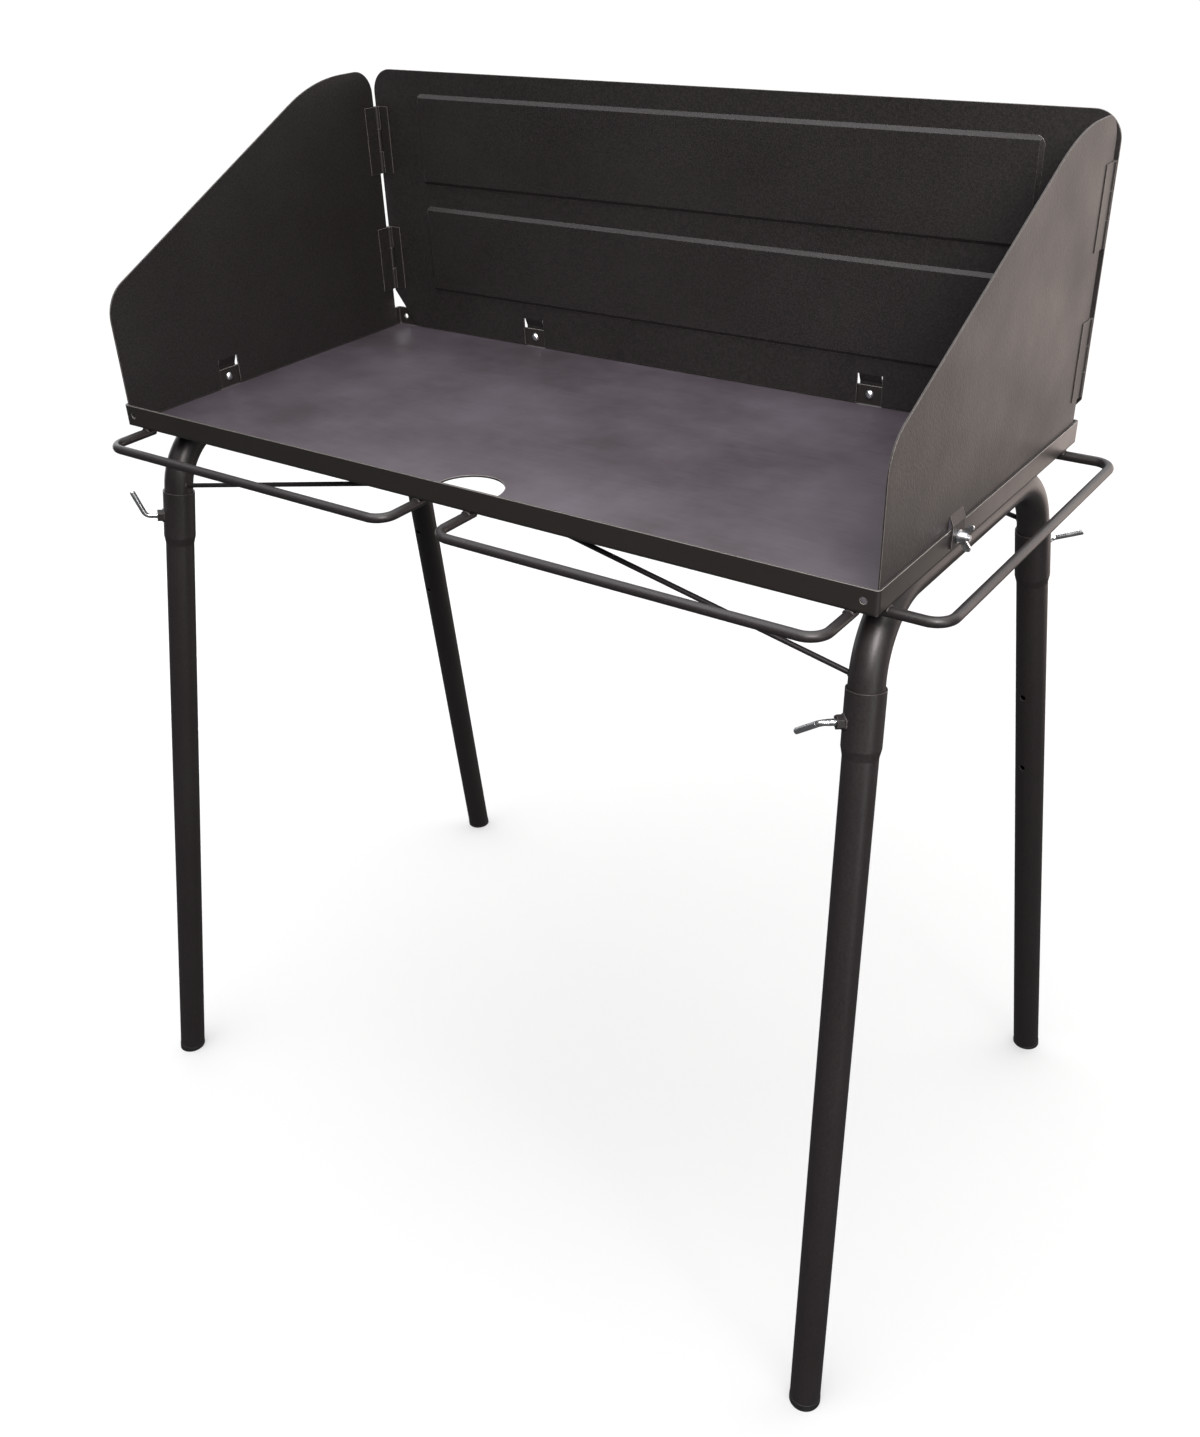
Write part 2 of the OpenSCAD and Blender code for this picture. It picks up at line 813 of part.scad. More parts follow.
// Rod that presses on the inner tube and bends into a handle
module thumb_screw(side, end, turn, handle_turn) {
    tip = tube_d / 2 + socket_gap;
    knee = socket_ro + clamp_nut_h + screw_neck + handle_bend_r * tan(handle_angle / 2);
    reach = handle_l + handle_bend_r * tan(handle_angle / 2);
    tail = [knee + reach * cos(handle_angle), reach * sin(handle_angle)];
    color(zinc)
        at_screw(side, end, turn)
            rotate([handle_turn + 90, 0, 0]) {
                bent_rod([[tip, 0], [knee, 0], tail], handle_bend_r, screw_d);
                translate(tail - bend_lap * [cos(handle_angle), sin(handle_angle)])
                    rotate([0, 0, handle_angle])
                        rotate([0, 90, 0])
                            cylinder(
                                d1 = screw_d - bend_neck, d2 = screw_d - 2 * handle_chamfer,
                                h = handle_chamfer + bend_lap);
            }
}

cook_tray();
leg_frame(LEFT);  // left_frame
leg_frame(RIGHT);  // right_frame
brace(LEFT, FRONT);  // front_left_brace
brace(RIGHT, FRONT);  // front_right_brace
brace(LEFT, BACK);  // back_left_brace
brace(RIGHT, BACK);  // back_right_brace
front_rail(LEFT);  // front_rail_left
front_rail(RIGHT);  // front_rail_right
side_rail();
back_screen();
wing();  // left_wing
mirrored(RIGHT) wing();  // right_wing
wing_leaf(0);  // left_lower_wing_leaf
screen_leaf(0);  // left_lower_screen_leaf
hinge_pin(0);  // left_lower_hinge_pin
wing_leaf(1);  // left_upper_wing_leaf
screen_leaf(1);  // left_upper_screen_leaf
hinge_pin(1);  // left_upper_hinge_pin
mirrored(RIGHT) wing_leaf(0);  // right_lower_wing_leaf
mirrored(RIGHT) screen_leaf(0);  // right_lower_screen_leaf
mirrored(RIGHT) hinge_pin(0);  // right_lower_hinge_pin
mirrored(RIGHT) wing_leaf(1);  // right_upper_wing_leaf
mirrored(RIGHT) screen_leaf(1);  // right_upper_screen_leaf
mirrored(RIGHT) hinge_pin(1);  // right_upper_hinge_pin
screen_bolts();
screen_washers();
at_left_bolt() wing_nut(nut_left);  // left_wing_nut
at_right_bolt() wing_nut(nut_right);  // right_wing_nut
at_back_bolt(LEFT) wing_nut(nut_back_left);  // back_left_wing_nut
at_back_bolt(RIGHT) wing_nut(nut_back_right);  // back_right_wing_nut
leg(LEFT, FRONT, turn_front_left);  // front_left_leg
leg(RIGHT, FRONT, turn_front_right);  // front_right_leg
leg(LEFT, BACK, turn_back_left);  // back_left_leg
leg(RIGHT, BACK, turn_back_right);  // back_right_leg
foot_cap(LEFT, FRONT);  // front_left_foot_cap
foot_cap(RIGHT, FRONT);  // front_right_foot_cap
foot_cap(LEFT, BACK);  // back_left_foot_cap
foot_cap(RIGHT, BACK);  // back_right_foot_cap
clamp_nut(LEFT, FRONT, turn_front_left);  // front_left_clamp_nut
clamp_nut(RIGHT, FRONT, turn_front_right);  // front_right_clamp_nut
clamp_nut(LEFT, BACK, turn_back_left);  // back_left_clamp_nut
clamp_nut(RIGHT, BACK, turn_back_right);  // back_right_clamp_nut
thumb_screw(LEFT, FRONT, turn_front_left, handle_front_left);  // front_left_thumb_screw
thumb_screw(RIGHT, FRONT, turn_front_right, handle_front_right);  // front_right_thumb_screw
thumb_screw(LEFT, BACK, turn_back_left, handle_back_left);  // back_left_thumb_screw
thumb_screw(RIGHT, BACK, turn_back_right, handle_back_right);  // back_right_thumb_screw
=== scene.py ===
"""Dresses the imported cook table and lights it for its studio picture.

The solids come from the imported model. This script gives each one a procedural finish, draws the
bent rods and tubes as smooth sweeps, draws the wings again with clean corners, adds weld beads and
screw threads, and sets up a pale studio. Sizes that repeat the solids are in millimetres, and
everything that is handed to Blender is in metres.
"""

import logging
import math
from dataclasses import dataclass, field
from enum import Enum
from typing import Any, Iterable

import bmesh
import bpy
from bpy.types import Material, Mesh, Modifier, Node, NodeSocket, NodeTree, Object
from mathutils import Matrix, Vector


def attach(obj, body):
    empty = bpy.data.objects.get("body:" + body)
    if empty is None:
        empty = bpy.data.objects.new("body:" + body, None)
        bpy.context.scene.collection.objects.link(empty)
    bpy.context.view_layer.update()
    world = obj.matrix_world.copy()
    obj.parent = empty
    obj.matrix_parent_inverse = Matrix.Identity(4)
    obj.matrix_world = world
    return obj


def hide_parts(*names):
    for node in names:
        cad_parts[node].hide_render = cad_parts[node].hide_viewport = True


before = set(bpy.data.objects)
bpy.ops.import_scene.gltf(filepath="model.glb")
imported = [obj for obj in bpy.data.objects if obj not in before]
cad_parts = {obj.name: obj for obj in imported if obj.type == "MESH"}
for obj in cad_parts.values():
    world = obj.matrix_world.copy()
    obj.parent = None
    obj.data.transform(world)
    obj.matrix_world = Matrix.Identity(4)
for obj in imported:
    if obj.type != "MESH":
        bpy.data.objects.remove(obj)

LOG = logging.getLogger("cook_table")

MM = 0.001
WHITE = (1.0, 1.0, 1.0, 1.0)
# Faces that meet at more than this keep a sharp edge between them.
SHARP_ANGLE = math.radians(40)
# A noise texture's values lie mostly between these two.
NOISE_LOW, NOISE_HIGH = 0.3, 0.7
# Cosine between the rounded and the true normal where an edge's painted highlight starts, and where
# it is full.
HIGHLIGHT_STARTS, HIGHLIGHT_FULL = 0.97, 0.80
# Rays that look for an edge to round.
EDGE_SAMPLES = 6
# How high a grain stands, as a share of its width.
GRAIN_RISE = 0.3
# Least and most size of a weld's drops along, across and up, as shares of the bead's radius.
DROP_LEAST, DROP_MOST = (0.85, 0.85, 0.8), (1.2, 1.15, 1.0)


class Side(Enum):
    """Left or right of the table, as the sign of X."""

    LEFT = -1
    RIGHT = 1


class End(Enum):
    """Front or back of the table, as the sign of Y."""

    FRONT = -1
    BACK = 1


def corners() -> Iterable[tuple[str, Side, End]]:
    """Goes through the table's corners, the left ones first.

    Returns:
        Each corner's name, as the nodes have it, with its side and end.
    """
    for side in Side:
        for end in End:
            yield f"{end.name.lower()}_{side.name.lower()}", side, end


# Colours and nodes


def linear(hex_colour: str) -> tuple[float, float, float, float]:
    """Turns an sRGB hex colour into linear light.

    Args:
        hex_colour: Colour such as "#1d1b1a".

    Returns:
        Red, green, blue and a full alpha.
    """
    parts = [int(hex_colour[i:i + 2], 16) / 255 for i in (1, 3, 5)]
    light = [c / 12.92 if c <= 0.04045 else ((c + 0.055) / 1.055) ** 2.4 for c in parts]
    return light[0], light[1], light[2], 1.0


def add(tree: NodeTree, kind: str, inputs: dict | None = None, **settings: Any) -> Node:
    """Adds a node with its settings and what goes into it.

    Args:
        tree: Tree that gets the node.
        kind: Blender's name for the kind of node.
        inputs: For each input, by name or number, a socket to link or a value to set. A node
            stands for its first output in use.
        settings: The node's own properties.

    Returns:
        The new node.
    """
    node = tree.nodes.new(kind)
    for name, value in settings.items():
        setattr(node, name, value)
    for key, value in (inputs or {}).items():
        if isinstance(value, Node):
            value = next(socket for socket in value.outputs if socket.enabled)
        if isinstance(value, NodeSocket):
            tree.links.new(value, node.inputs[key])
        else:
            node.inputs[key].default_value = value
    return node


def new_material(name: str) -> tuple[Material, NodeTree]:
    """Starts a material with an empty tree.

    Args:
        name: The finish's name.

    Returns:
        The material and its tree.
    """
    material = bpy.data.materials.new(name)
    material.use_nodes = True
    material.node_tree.nodes.clear()
    return material, material.node_tree


def painted_edge_highlight(tree: NodeTree, rounded: Node, most: float) -> Node:
    """Finds a sheet's edges, where the rounded normal leaves the true one, for a painted highlight
    along them.

    Args:
        tree: The material's tree.
        rounded: Node that gives the normal of rounded edges.
        most: How much of the painted edge highlight shows at most.

    Returns:
        Node that gives the share of the painted edge highlight.
    """
    flat = add(tree, "ShaderNodeNewGeometry")
    along = add(tree, "ShaderNodeVectorMath", {
        0: rounded, 1: flat.outputs["True Normal"]}, operation="DOT_PRODUCT")
    return add(tree, "ShaderNodeMapRange", {
        "Value": along, "From Min": HIGHLIGHT_STARTS, "From Max": HIGHLIGHT_FULL,
        "To Min": 0.0, "To Max": most})


# Finishes


@dataclass(frozen=True)
class PowderCoat:
    """Black powder coat, sprayed on steel and baked.

    It gives the eye a dark, half matt skin with the fine speckle and orange peel of fused powder,
    soft bright lines along rounded edges, partly from the lamps on the rounded normals and partly a
    painted highlight, and slow changes of gloss where the powder lay thicker.
    """

    name: str
    colour: str
    speck_colour: str
    # Colour of the painted highlight along rounded edges.
    edge_highlight_colour: str
    roughness: float
    specular: float
    # The real grain is under half a millimetre, too fine to show, so it is drawn this coarse.
    peel_mm: float = 1.8
    peel_depth: float = 0.10
    cloud_mm: float = 90.0
    edge_mm: float = 0.7
    # Most share of the painted edge highlight.
    highlight_most: float = 0.6
    speck_range: tuple[float, float] = (0.35, 0.68)
    gloss_range: tuple[float, float] = (-0.04, 0.05)
    ior: float = 1.5

    def material(self) -> Material:
        """Builds the coat's node tree.

        Returns:
            The coat.
        """
        material, tree = new_material(self.name)
        place = add(tree, "ShaderNodeTexCoord").outputs["Object"]
        peel = add(tree, "ShaderNodeTexNoise", {
            "Vector": place, "Scale": 1 / (self.peel_mm * MM), "Detail": 2.0, "Roughness": 0.55})
        cloud = add(tree, "ShaderNodeTexNoise", {
            "Vector": place, "Scale": 1 / (self.cloud_mm * MM), "Detail": 3.0})
        specks = add(tree, "ShaderNodeMapRange", {
            "Value": peel, "From Min": self.speck_range[0], "From Max": self.speck_range[1]})
        rounded = add(tree, "ShaderNodeBevel", {"Radius": self.edge_mm * MM}, samples=EDGE_SAMPLES)
        coat = add(tree, "ShaderNodeMix", {
            "Factor": specks, "A": linear(self.colour), "B": linear(self.speck_colour)},
            data_type="RGBA")
        # Painted highlight: the edge colour is mixed in where an edge is rounded.
        edge_lit = add(tree, "ShaderNodeMix", {
            "Factor": painted_edge_highlight(tree, rounded, self.highlight_most),
            "A": coat, "B": linear(self.edge_highlight_colour)}, data_type="RGBA")
        gloss = add(tree, "ShaderNodeMapRange", {
            "Value": cloud, "From Min": NOISE_LOW, "From Max": NOISE_HIGH,
            "To Min": self.roughness + self.gloss_range[0],
            "To Max": self.roughness + self.gloss_range[1]})
        bump = add(tree, "ShaderNodeBump", {
            "Height": peel, "Strength": self.peel_depth,
            "Distance": self.peel_mm * MM * GRAIN_RISE, "Normal": rounded})
        shader = add(tree, "ShaderNodeBsdfPrincipled", {
            "Base Color": edge_lit, "Roughness": gloss, "IOR": self.ior,
            "Specular IOR Level": self.specular, "Normal": bump})
        add(tree, "ShaderNodeOutputMaterial", {"Surface": shader})
        return material


@dataclass(frozen=True)
class TrayCoat:
    """Powder coat of the cooking tray: black on the lip, rubbed smooth and greyer on the plate.

    It gives the eye a lighter satin plane with a faint lilac cast and cloudy rub marks, inside a
    lip that is as black as the rest and bright along its rounded top edge, partly from the lamps on
    the rounded normal and partly from a painted highlight.
    """

    name: str = "satin_tray_powder_coat"
    lip_colour: str = "#1d1a19"
    plate_colour: str = "#312b30"
    rub_colour: str = "#4b454c"
    # Colour of the painted highlight along rounded edges.
    edge_highlight_colour: str = "#a5a19e"
    roughness: float = 0.42
    ior: float = 1.5
    plate_top_mm: float = 872.5
    # Heights over the plate between which its colour gives way to the lip's.
    fade_mm: tuple[float, float] = (2.0, 0.3)
    # Upward part of the normal that a face needs to count as the plate.
    upward_range: tuple[float, float] = (0.5, 0.95)
    # The real grain and rub marks are too fine to show, so they are drawn this coarse.
    peel_mm: float = 1.8
    peel_depth: float = 0.12
    rub_mm: float = 3.0
    rub_length_mm: float = 45.0
    rub_share: float = 0.22
    cloud_mm: float = 120.0
    mark_range: tuple[float, float] = (0.40, 0.84)
    gloss_range: tuple[float, float] = (0.05, -0.04)
    edge_mm: float = 1.0
    # Most share of the painted edge highlight.
    highlight_most: float = 0.85

    def material(self) -> Material:
        """Builds the coat's node tree.

        Returns:
            The coat.
        """
        material, tree = new_material(self.name)
        place = add(tree, "ShaderNodeTexCoord").outputs["Object"]
        lengthwise, across = 1 / (self.rub_length_mm * MM), 1 / (self.rub_mm * MM)
        stretched = add(tree, "ShaderNodeMapping", {
            "Vector": place, "Scale": (lengthwise, across, across)})
        rubs = add(tree, "ShaderNodeTexNoise", {"Vector": stretched, "Scale": 1.0, "Detail": 3.0})
        cloud = add(tree, "ShaderNodeTexNoise", {
            "Vector": place, "Scale": 1 / (self.cloud_mm * MM), "Detail": 4.0, "Roughness": 0.6})
        peel = add(tree, "ShaderNodeTexNoise", {
            "Vector": place, "Scale": 1 / (self.peel_mm * MM), "Detail": 2.0})
        rounded = add(tree, "ShaderNodeBevel", {"Radius": self.edge_mm * MM}, samples=EDGE_SAMPLES)
        facing = add(tree, "ShaderNodeSeparateXYZ", {
            "Vector": add(tree, "ShaderNodeNewGeometry").outputs["True Normal"]})
        height = add(tree, "ShaderNodeSeparateXYZ", {"Vector": place})
        low = add(tree, "ShaderNodeMapRange", {
            "Value": height.outputs["Z"],
            "From Min": (self.plate_top_mm + self.fade_mm[0]) * MM,
            "From Max": (self.plate_top_mm + self.fade_mm[1]) * MM})
        upward = add(tree, "ShaderNodeMapRange", {
            "Value": facing.outputs["Z"],
            "From Min": self.upward_range[0], "From Max": self.upward_range[1]})
        cooking = add(tree, "ShaderNodeMath", {0: low, 1: upward}, operation="MULTIPLY")
        marks = add(tree, "ShaderNodeMath", {
            0: rubs, 1: self.rub_share, 2: cloud}, operation="MULTIPLY_ADD")
        rubbed = add(tree, "ShaderNodeMapRange", {
            "Value": marks, "From Min": self.mark_range[0], "From Max": self.mark_range[1]})
        plate = add(tree, "ShaderNodeMix", {
            "Factor": rubbed, "A": linear(self.plate_colour), "B": linear(self.rub_colour)},
            data_type="RGBA")
        coat = add(tree, "ShaderNodeMix", {
            "Factor": cooking, "A": linear(self.lip_colour), "B": plate}, data_type="RGBA")
        # Painted highlight: the edge colour is mixed in where an edge is rounded.
        edge_lit = add(tree, "ShaderNodeMix", {
            "Factor": painted_edge_highlight(tree, rounded, self.highlight_most),
            "A": coat, "B": linear(self.edge_highlight_colour)}, data_type="RGBA")
        gloss = add(tree, "ShaderNodeMapRange", {
            "Value": marks, "From Min": self.mark_range[0], "From Max": self.mark_range[1],
            "To Min": self.roughness + self.gloss_range[0],
            "To Max": self.roughness + self.gloss_range[1]})
        bump = add(tree, "ShaderNodeBump", {
            "Height": peel, "Strength": self.peel_depth,
            "Distance": self.peel_mm * MM * GRAIN_RISE, "Normal": rounded})
        shader = add(tree, "ShaderNodeBsdfPrincipled", {
            "Base Color": edge_lit, "Roughness": gloss, "IOR": self.ior, "Normal": bump})
        add(tree, "ShaderNodeOutputMaterial", {"Surface": shader})
        return material


@dataclass(frozen=True)
class ZincPlate:
    """Bright zinc, plated on rolled and pressed steel hardware.

    It gives the eye a cool silver with uneven gloss and slightly duller patches.
    """

    name: str = "bright_zinc_plated_steel"
    colour: str = "#e2e4e6"
    dull_colour: str = "#bfc2c6"
    roughness: float = 0.26
    # The real grain is about a tenth of this, too fine to show, so it is drawn this coarse.
    grain_mm: float = 0.9
    grain_depth: float = 0.06
    cloud_mm: float = 6.0
    gloss_range: tuple[float, float] = (-0.06, 0.10)
    edge_mm: float = 0.35

    def material(self) -> Material:
        """Builds the plating's node tree.

        Returns:
            The plating.
        """
        material, tree = new_material(self.name)
        place = add(tree, "ShaderNodeTexCoord").outputs["Object"]
        cloud = add(tree, "ShaderNodeTexNoise", {
            "Vector": place, "Scale": 1 / (self.cloud_mm * MM), "Detail": 3.0})
        grain = add(tree, "ShaderNodeTexNoise", {
            "Vector": place, "Scale": 1 / (self.grain_mm * MM), "Detail": 2.0})
        plate = add(tree, "ShaderNodeMix", {
            "Factor": cloud, "A": linear(self.colour), "B": linear(self.dull_colour)},
            data_type="RGBA")
        gloss = add(tree, "ShaderNodeMapRange", {
            "Value": cloud, "From Min": NOISE_LOW, "From Max": NOISE_HIGH,
            "To Min": self.roughness + self.gloss_range[0],
            "To Max": self.roughness + self.gloss_range[1]})
        rounded = add(tree, "ShaderNodeBevel", {"Radius": self.edge_mm * MM}, samples=EDGE_SAMPLES)
        bump = add(tree, "ShaderNodeBump", {
            "Height": grain, "Strength": self.grain_depth,
            "Distance": self.grain_mm * MM * GRAIN_RISE, "Normal": rounded})
        shader = add(tree, "ShaderNodeBsdfPrincipled", {
            "Base Color": plate, "Metallic": 1.0, "Roughness": gloss, "Normal": bump})
        add(tree, "ShaderNodeOutputMaterial", {"Surface": shader})
        return material


@dataclass(frozen=True)
class MouldedCap:
    """Black polyethylene of the foot caps, injection moulded.

    It gives the eye a deep matt black with a fine spark-eroded grain and greyer scuffs.
    """

    name: str = "black_moulded_polyethylene"
    colour: str = "#131313"
    scuff_colour: str = "#2a2a2b"
    roughness: float = 0.52
    ior: float = 1.51
    # The real grain is about a tenth of this, too fine to show, so it is drawn this coarse.
    grain_mm: float = 0.8
    grain_depth: float = 0.15
    scuff_mm: float = 7.0
    scuff_range: tuple[float, float] = (0.55, 0.8)
    scuff_most: float = 0.6
    gloss_range: tuple[float, float] = (-0.05, 0.08)
    edge_mm: float = 0.6

    def material(self) -> Material:
        """Builds the plastic's node tree.

        Returns:
            The plastic.
        """
        material, tree = new_material(self.name)
        place = add(tree, "ShaderNodeTexCoord").outputs["Object"]
        grain = add(tree, "ShaderNodeTexNoise", {
            "Vector": place, "Scale": 1 / (self.grain_mm * MM), "Detail": 1.0})
        scuff = add(tree, "ShaderNodeTexNoise", {
            "Vector": place, "Scale": 1 / (self.scuff_mm * MM), "Detail": 4.0, "Roughness": 0.65})
        scuffed = add(tree, "ShaderNodeMapRange", {
            "Value": scuff, "From Min": self.scuff_range[0], "From Max": self.scuff_range[1],
            "To Min": 0.0, "To Max": self.scuff_most})
        skin = add(tree, "ShaderNodeMix", {
            "Factor": scuffed, "A": linear(self.colour), "B": linear(self.scuff_colour)},
            data_type="RGBA")
        gloss = add(tree, "ShaderNodeMapRange", {
            "Value": scuff, "From Min": NOISE_LOW, "From Max": NOISE_HIGH,
            "To Min": self.roughness + self.gloss_range[0],
            "To Max": self.roughness + self.gloss_range[1]})
        rounded = add(tree, "ShaderNodeBevel", {"Radius": self.edge_mm * MM}, samples=EDGE_SAMPLES)
        bump = add(tree, "ShaderNodeBump", {
            "Height": grain, "Strength": self.grain_depth,
            "Distance": self.grain_mm * MM * GRAIN_RISE, "Normal": rounded})
        shader = add(tree, "ShaderNodeBsdfPrincipled", {
            "Base Color": skin, "Roughness": gloss, "IOR": self.ior, "Normal": bump})
        add(tree, "ShaderNodeOutputMaterial", {"Surface": shader})
        return material


class Finish(Enum):
    """The finishes of the object's pieces, each with the record's material slot."""

    # Each coat's edge colour is a painted highlight along rounded edges.
    SHEET = ("black_powder_coat", PowderCoat(
        "black_powder_coat_on_sheet",
        colour="#131111", speck_colour="#221e1f", edge_highlight_colour="#9c9692",
        roughness=0.52, specular=0.4, peel_mm=2.2, peel_depth=0.3, edge_mm=0.8))
    TUBE = ("black_powder_coat", PowderCoat(
        "black_powder_coat_on_tube",
        colour="#191617", speck_colour="#221e1f", edge_highlight_colour="#6b6663",
        roughness=0.43, specular=0.42, peel_mm=2.0, peel_depth=0.18))
    TRAY = ("tray_coat", TrayCoat())
    ZINC = ("zinc_plate", ZincPlate())
    CAP = ("black_plastic", MouldedCap())


# Geometry Nodes


def new_tree(name: str, inputs: dict[str, str]) -> tuple[NodeTree, Node]:
    """Starts a Geometry Nodes tree with named inputs.

    Args:
        name: The tree's name.
        inputs: For each input's name, its kind of socket.

    Returns:
        The tree and its input node.
    """
    tree = bpy.data.node_groups.new(name, "GeometryNodeTree")
    tree.interface.new_socket("Path", in_out="INPUT", socket_type="NodeSocketGeometry")
    for label, kind in inputs.items():
        tree.interface.new_socket(label, in_out="INPUT", socket_type=kind)
    tree.interface.new_socket("Piece", in_out="OUTPUT", socket_type="NodeSocketGeometry")
    return tree, add(tree, "NodeGroupInput")


def close_tree(tree: NodeTree, shape: Node, given: Node) -> None:
    """Ends a tree with smooth shading, real geometry and a finish.

    Args:
        tree: Tree to end.
        shape: Node that gives the finished shape.
        given: The tree's input node.
    """
    smooth = add(tree, "GeometryNodeSetShadeSmooth", {"Geometry": shape})
    real = add(tree, "GeometryNodeRealizeInstances", {"Geometry": smooth})
    painted = add(tree, "GeometryNodeSetMaterial", {
        "Geometry": real, "Material": given.outputs["Finish"]})
    add(tree, "NodeGroupOutput", {"Piece": painted})


def swept_rod_tree() -> NodeTree:
    """Makes a tree that bends a round rod along a path with rounded corners.

    Returns:
        The tree.
    """
    tree, given = new_tree("swept_rod", {
        "Rod Radius": "NodeSocketFloat", "Bend Radius": "NodeSocketFloat",
        "Bend Steps": "NodeSocketInt", "Sides": "NodeSocketInt", "Closed Ends": "NodeSocketBool",
        "Finish": "NodeSocketMaterial"})
    line = add(tree, "GeometryNodeMeshToCurve", {"Mesh": given.outputs["Path"]})
    bent = add(tree, "GeometryNodeFilletCurve", {
        "Curve": line, "Count": given.outputs["Bend Steps"],
        "Radius": given.outputs["Bend Radius"], "Limit Radius": True}, mode="POLY")
    ring = add(tree, "GeometryNodeCurvePrimitiveCircle", {
        "Resolution": given.outputs["Sides"], "Radius": given.outputs["Rod Radius"]})
    rod = add(tree, "GeometryNodeCurveToMesh", {
        "Curve": bent, "Profile Curve": ring, "Fill Caps": given.outputs["Closed Ends"]})
    close_tree(tree, rod, given)
    return tree


def weld_bead_tree() -> NodeTree:
    """Makes a tree that lays overlapping drops of weld metal along paths.

    Returns:
        The tree.
    """
    tree, given = new_tree("weld_bead", {
        "Bead Radius": "NodeSocketFloat", "Ripple": "NodeSocketFloat", "Seed": "NodeSocketInt",
        "Finish": "NodeSocketMaterial"})
    line = add(tree, "GeometryNodeMeshToCurve", {"Mesh": given.outputs["Path"]})
    drops = add(tree, "GeometryNodeCurveToPoints", {
        "Curve": line, "Length": given.outputs["Ripple"]}, mode="LENGTH")
    ball = add(tree, "GeometryNodeMeshIcoSphere", {
        "Radius": given.outputs["Bead Radius"], "Subdivisions": 2})
    spread = add(tree, "FunctionNodeRandomValue", {
        "Min": DROP_LEAST, "Max": DROP_MOST, "Seed": given.outputs["Seed"]},
        data_type="FLOAT_VECTOR")
    laid = add(tree, "GeometryNodeInstanceOnPoints", {
        "Points": drops, "Instance": ball, "Rotation": drops.outputs["Rotation"],
        "Scale": spread})
    close_tree(tree, laid, given)
    return tree


def screw_thread_tree() -> NodeTree:
    """Makes a tree that winds a ridge round the Z axis, from the origin up.

    Returns:
        The tree.
    """
    tree, given = new_tree("screw_thread", {
        "Core Radius": "NodeSocketFloat", "Turns": "NodeSocketFloat", "Length": "NodeSocketFloat",
        "Ridge": "NodeSocketFloat", "Finish": "NodeSocketMaterial"})
    coil = add(tree, "GeometryNodeCurveSpiral", {
        "Resolution": 24, "Rotations": given.outputs["Turns"],
        "Start Radius": given.outputs["Core Radius"], "End Radius": given.outputs["Core Radius"],
        "Height": given.outputs["Length"]})
    ridge = add(tree, "GeometryNodeCurvePrimitiveCircle", {
        "Resolution": 4, "Radius": given.outputs["Ridge"]})
    wound = add(tree, "GeometryNodeCurveToMesh", {
        "Curve": coil, "Profile Curve": ridge, "Fill Caps": True})
    close_tree(tree, wound, given)
    return tree


class Workshop:
    """The object's finishes and Geometry Nodes trees, each built once."""

    def __init__(self) -> None:
        """Builds every finish and every tree."""
        self.made = {finish: finish.value[1].material() for finish in Finish}
        self.rod = swept_rod_tree()
        self.bead = weld_bead_tree()
        self.thread = screw_thread_tree()

    def dress(self, obj: Object, finish: Finish) -> None:
        """Puts a finish on all of an object.

        Args:
            obj: Carried-over node or new piece.
            finish: Which finish it gets.
        """
        if not obj.data.materials:
            obj.data.materials.append(self.made[finish])
        for slot in obj.material_slots:
            slot.link = "OBJECT"
            slot.material = self.made[finish]

    def dress_nodes(self, names: Iterable[str], finish: Finish) -> None:
        """Puts a finish on carried-over nodes.

        Args:
            names: The nodes' names.
            finish: Which finish they get.
        """
        for name in names:
            self.dress(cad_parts[name], finish)
            LOG.info("dressed %s in %s", name, finish.value[1].name)


def path_mesh(name: str, paths: list[list[Vector]], closed: bool = False) -> Mesh:
    """Makes lines of edges from points in millimetres.

    Args:
        name: The mesh's name.
        paths: One list of points for each line.
        closed: True joins each line's end to its start.

    Returns:
        A mesh with edges and no faces, in metres.
    """
    points: list[Vector] = []
    edges: list[tuple[int, int]] = []
    for path in paths:
        first = len(points)
        points += [p * MM for p in path]
        edges += [(first + i, first + i + 1) for i in range(len(path) - 1)]
        if closed:
            edges.append((first + len(path) - 1, first))
    mesh = bpy.data.meshes.new(name)
    mesh.from_pydata(points, edges, [])
    return mesh


def keep_shape(obj: Object, modifier: Modifier) -> None:
    """Makes a modifier's result the object's own mesh.

    Args:
        obj: The piece.
        modifier: Its one modifier.
    """
    shaped = obj.evaluated_get(bpy.context.evaluated_depsgraph_get())
    mesh = bpy.data.meshes.new_from_object(shaped)
    obj.modifiers.remove(modifier)
    obj.data = mesh
    mesh.set_sharp_from_angle(angle=SHARP_ANGLE)


def grow(name: str, tree: NodeTree, start: Mesh, values: dict[str, Any]) -> Object:
    """Runs a tree on a mesh and keeps the plain result.

    Args:
        name: The new piece's name.
        tree: Geometry Nodes tree.
        start: Mesh that goes in as the path.
        values: The tree's inputs by name.

    Returns:
        An object at the origin with a plain mesh.
    """
    obj = bpy.data.objects.new(name, start)
    bpy.context.collection.objects.link(obj)
    modifier = obj.modifiers.new(tree.name, "NODES")
    modifier.node_group = tree
    for item in tree.interface.items_tree:
        if item.in_out == "INPUT" and item.name in values:
            modifier[item.identifier] = values[item.name]
    keep_shape(obj, modifier)
    return obj


def hollow(obj: Object, wall: float) -> None:
    """Gives an open sweep its wall, so that it is a tube.

    Args:
        obj: Piece with one skin and open ends.
        wall: How thick the wall is, inwards from the skin, in millimetres.
    """
    modifier = obj.modifiers.new("tube_wall", "SOLIDIFY")
    modifier.thickness = wall * MM
    modifier.offset = -1.0
    keep_shape(obj, modifier)


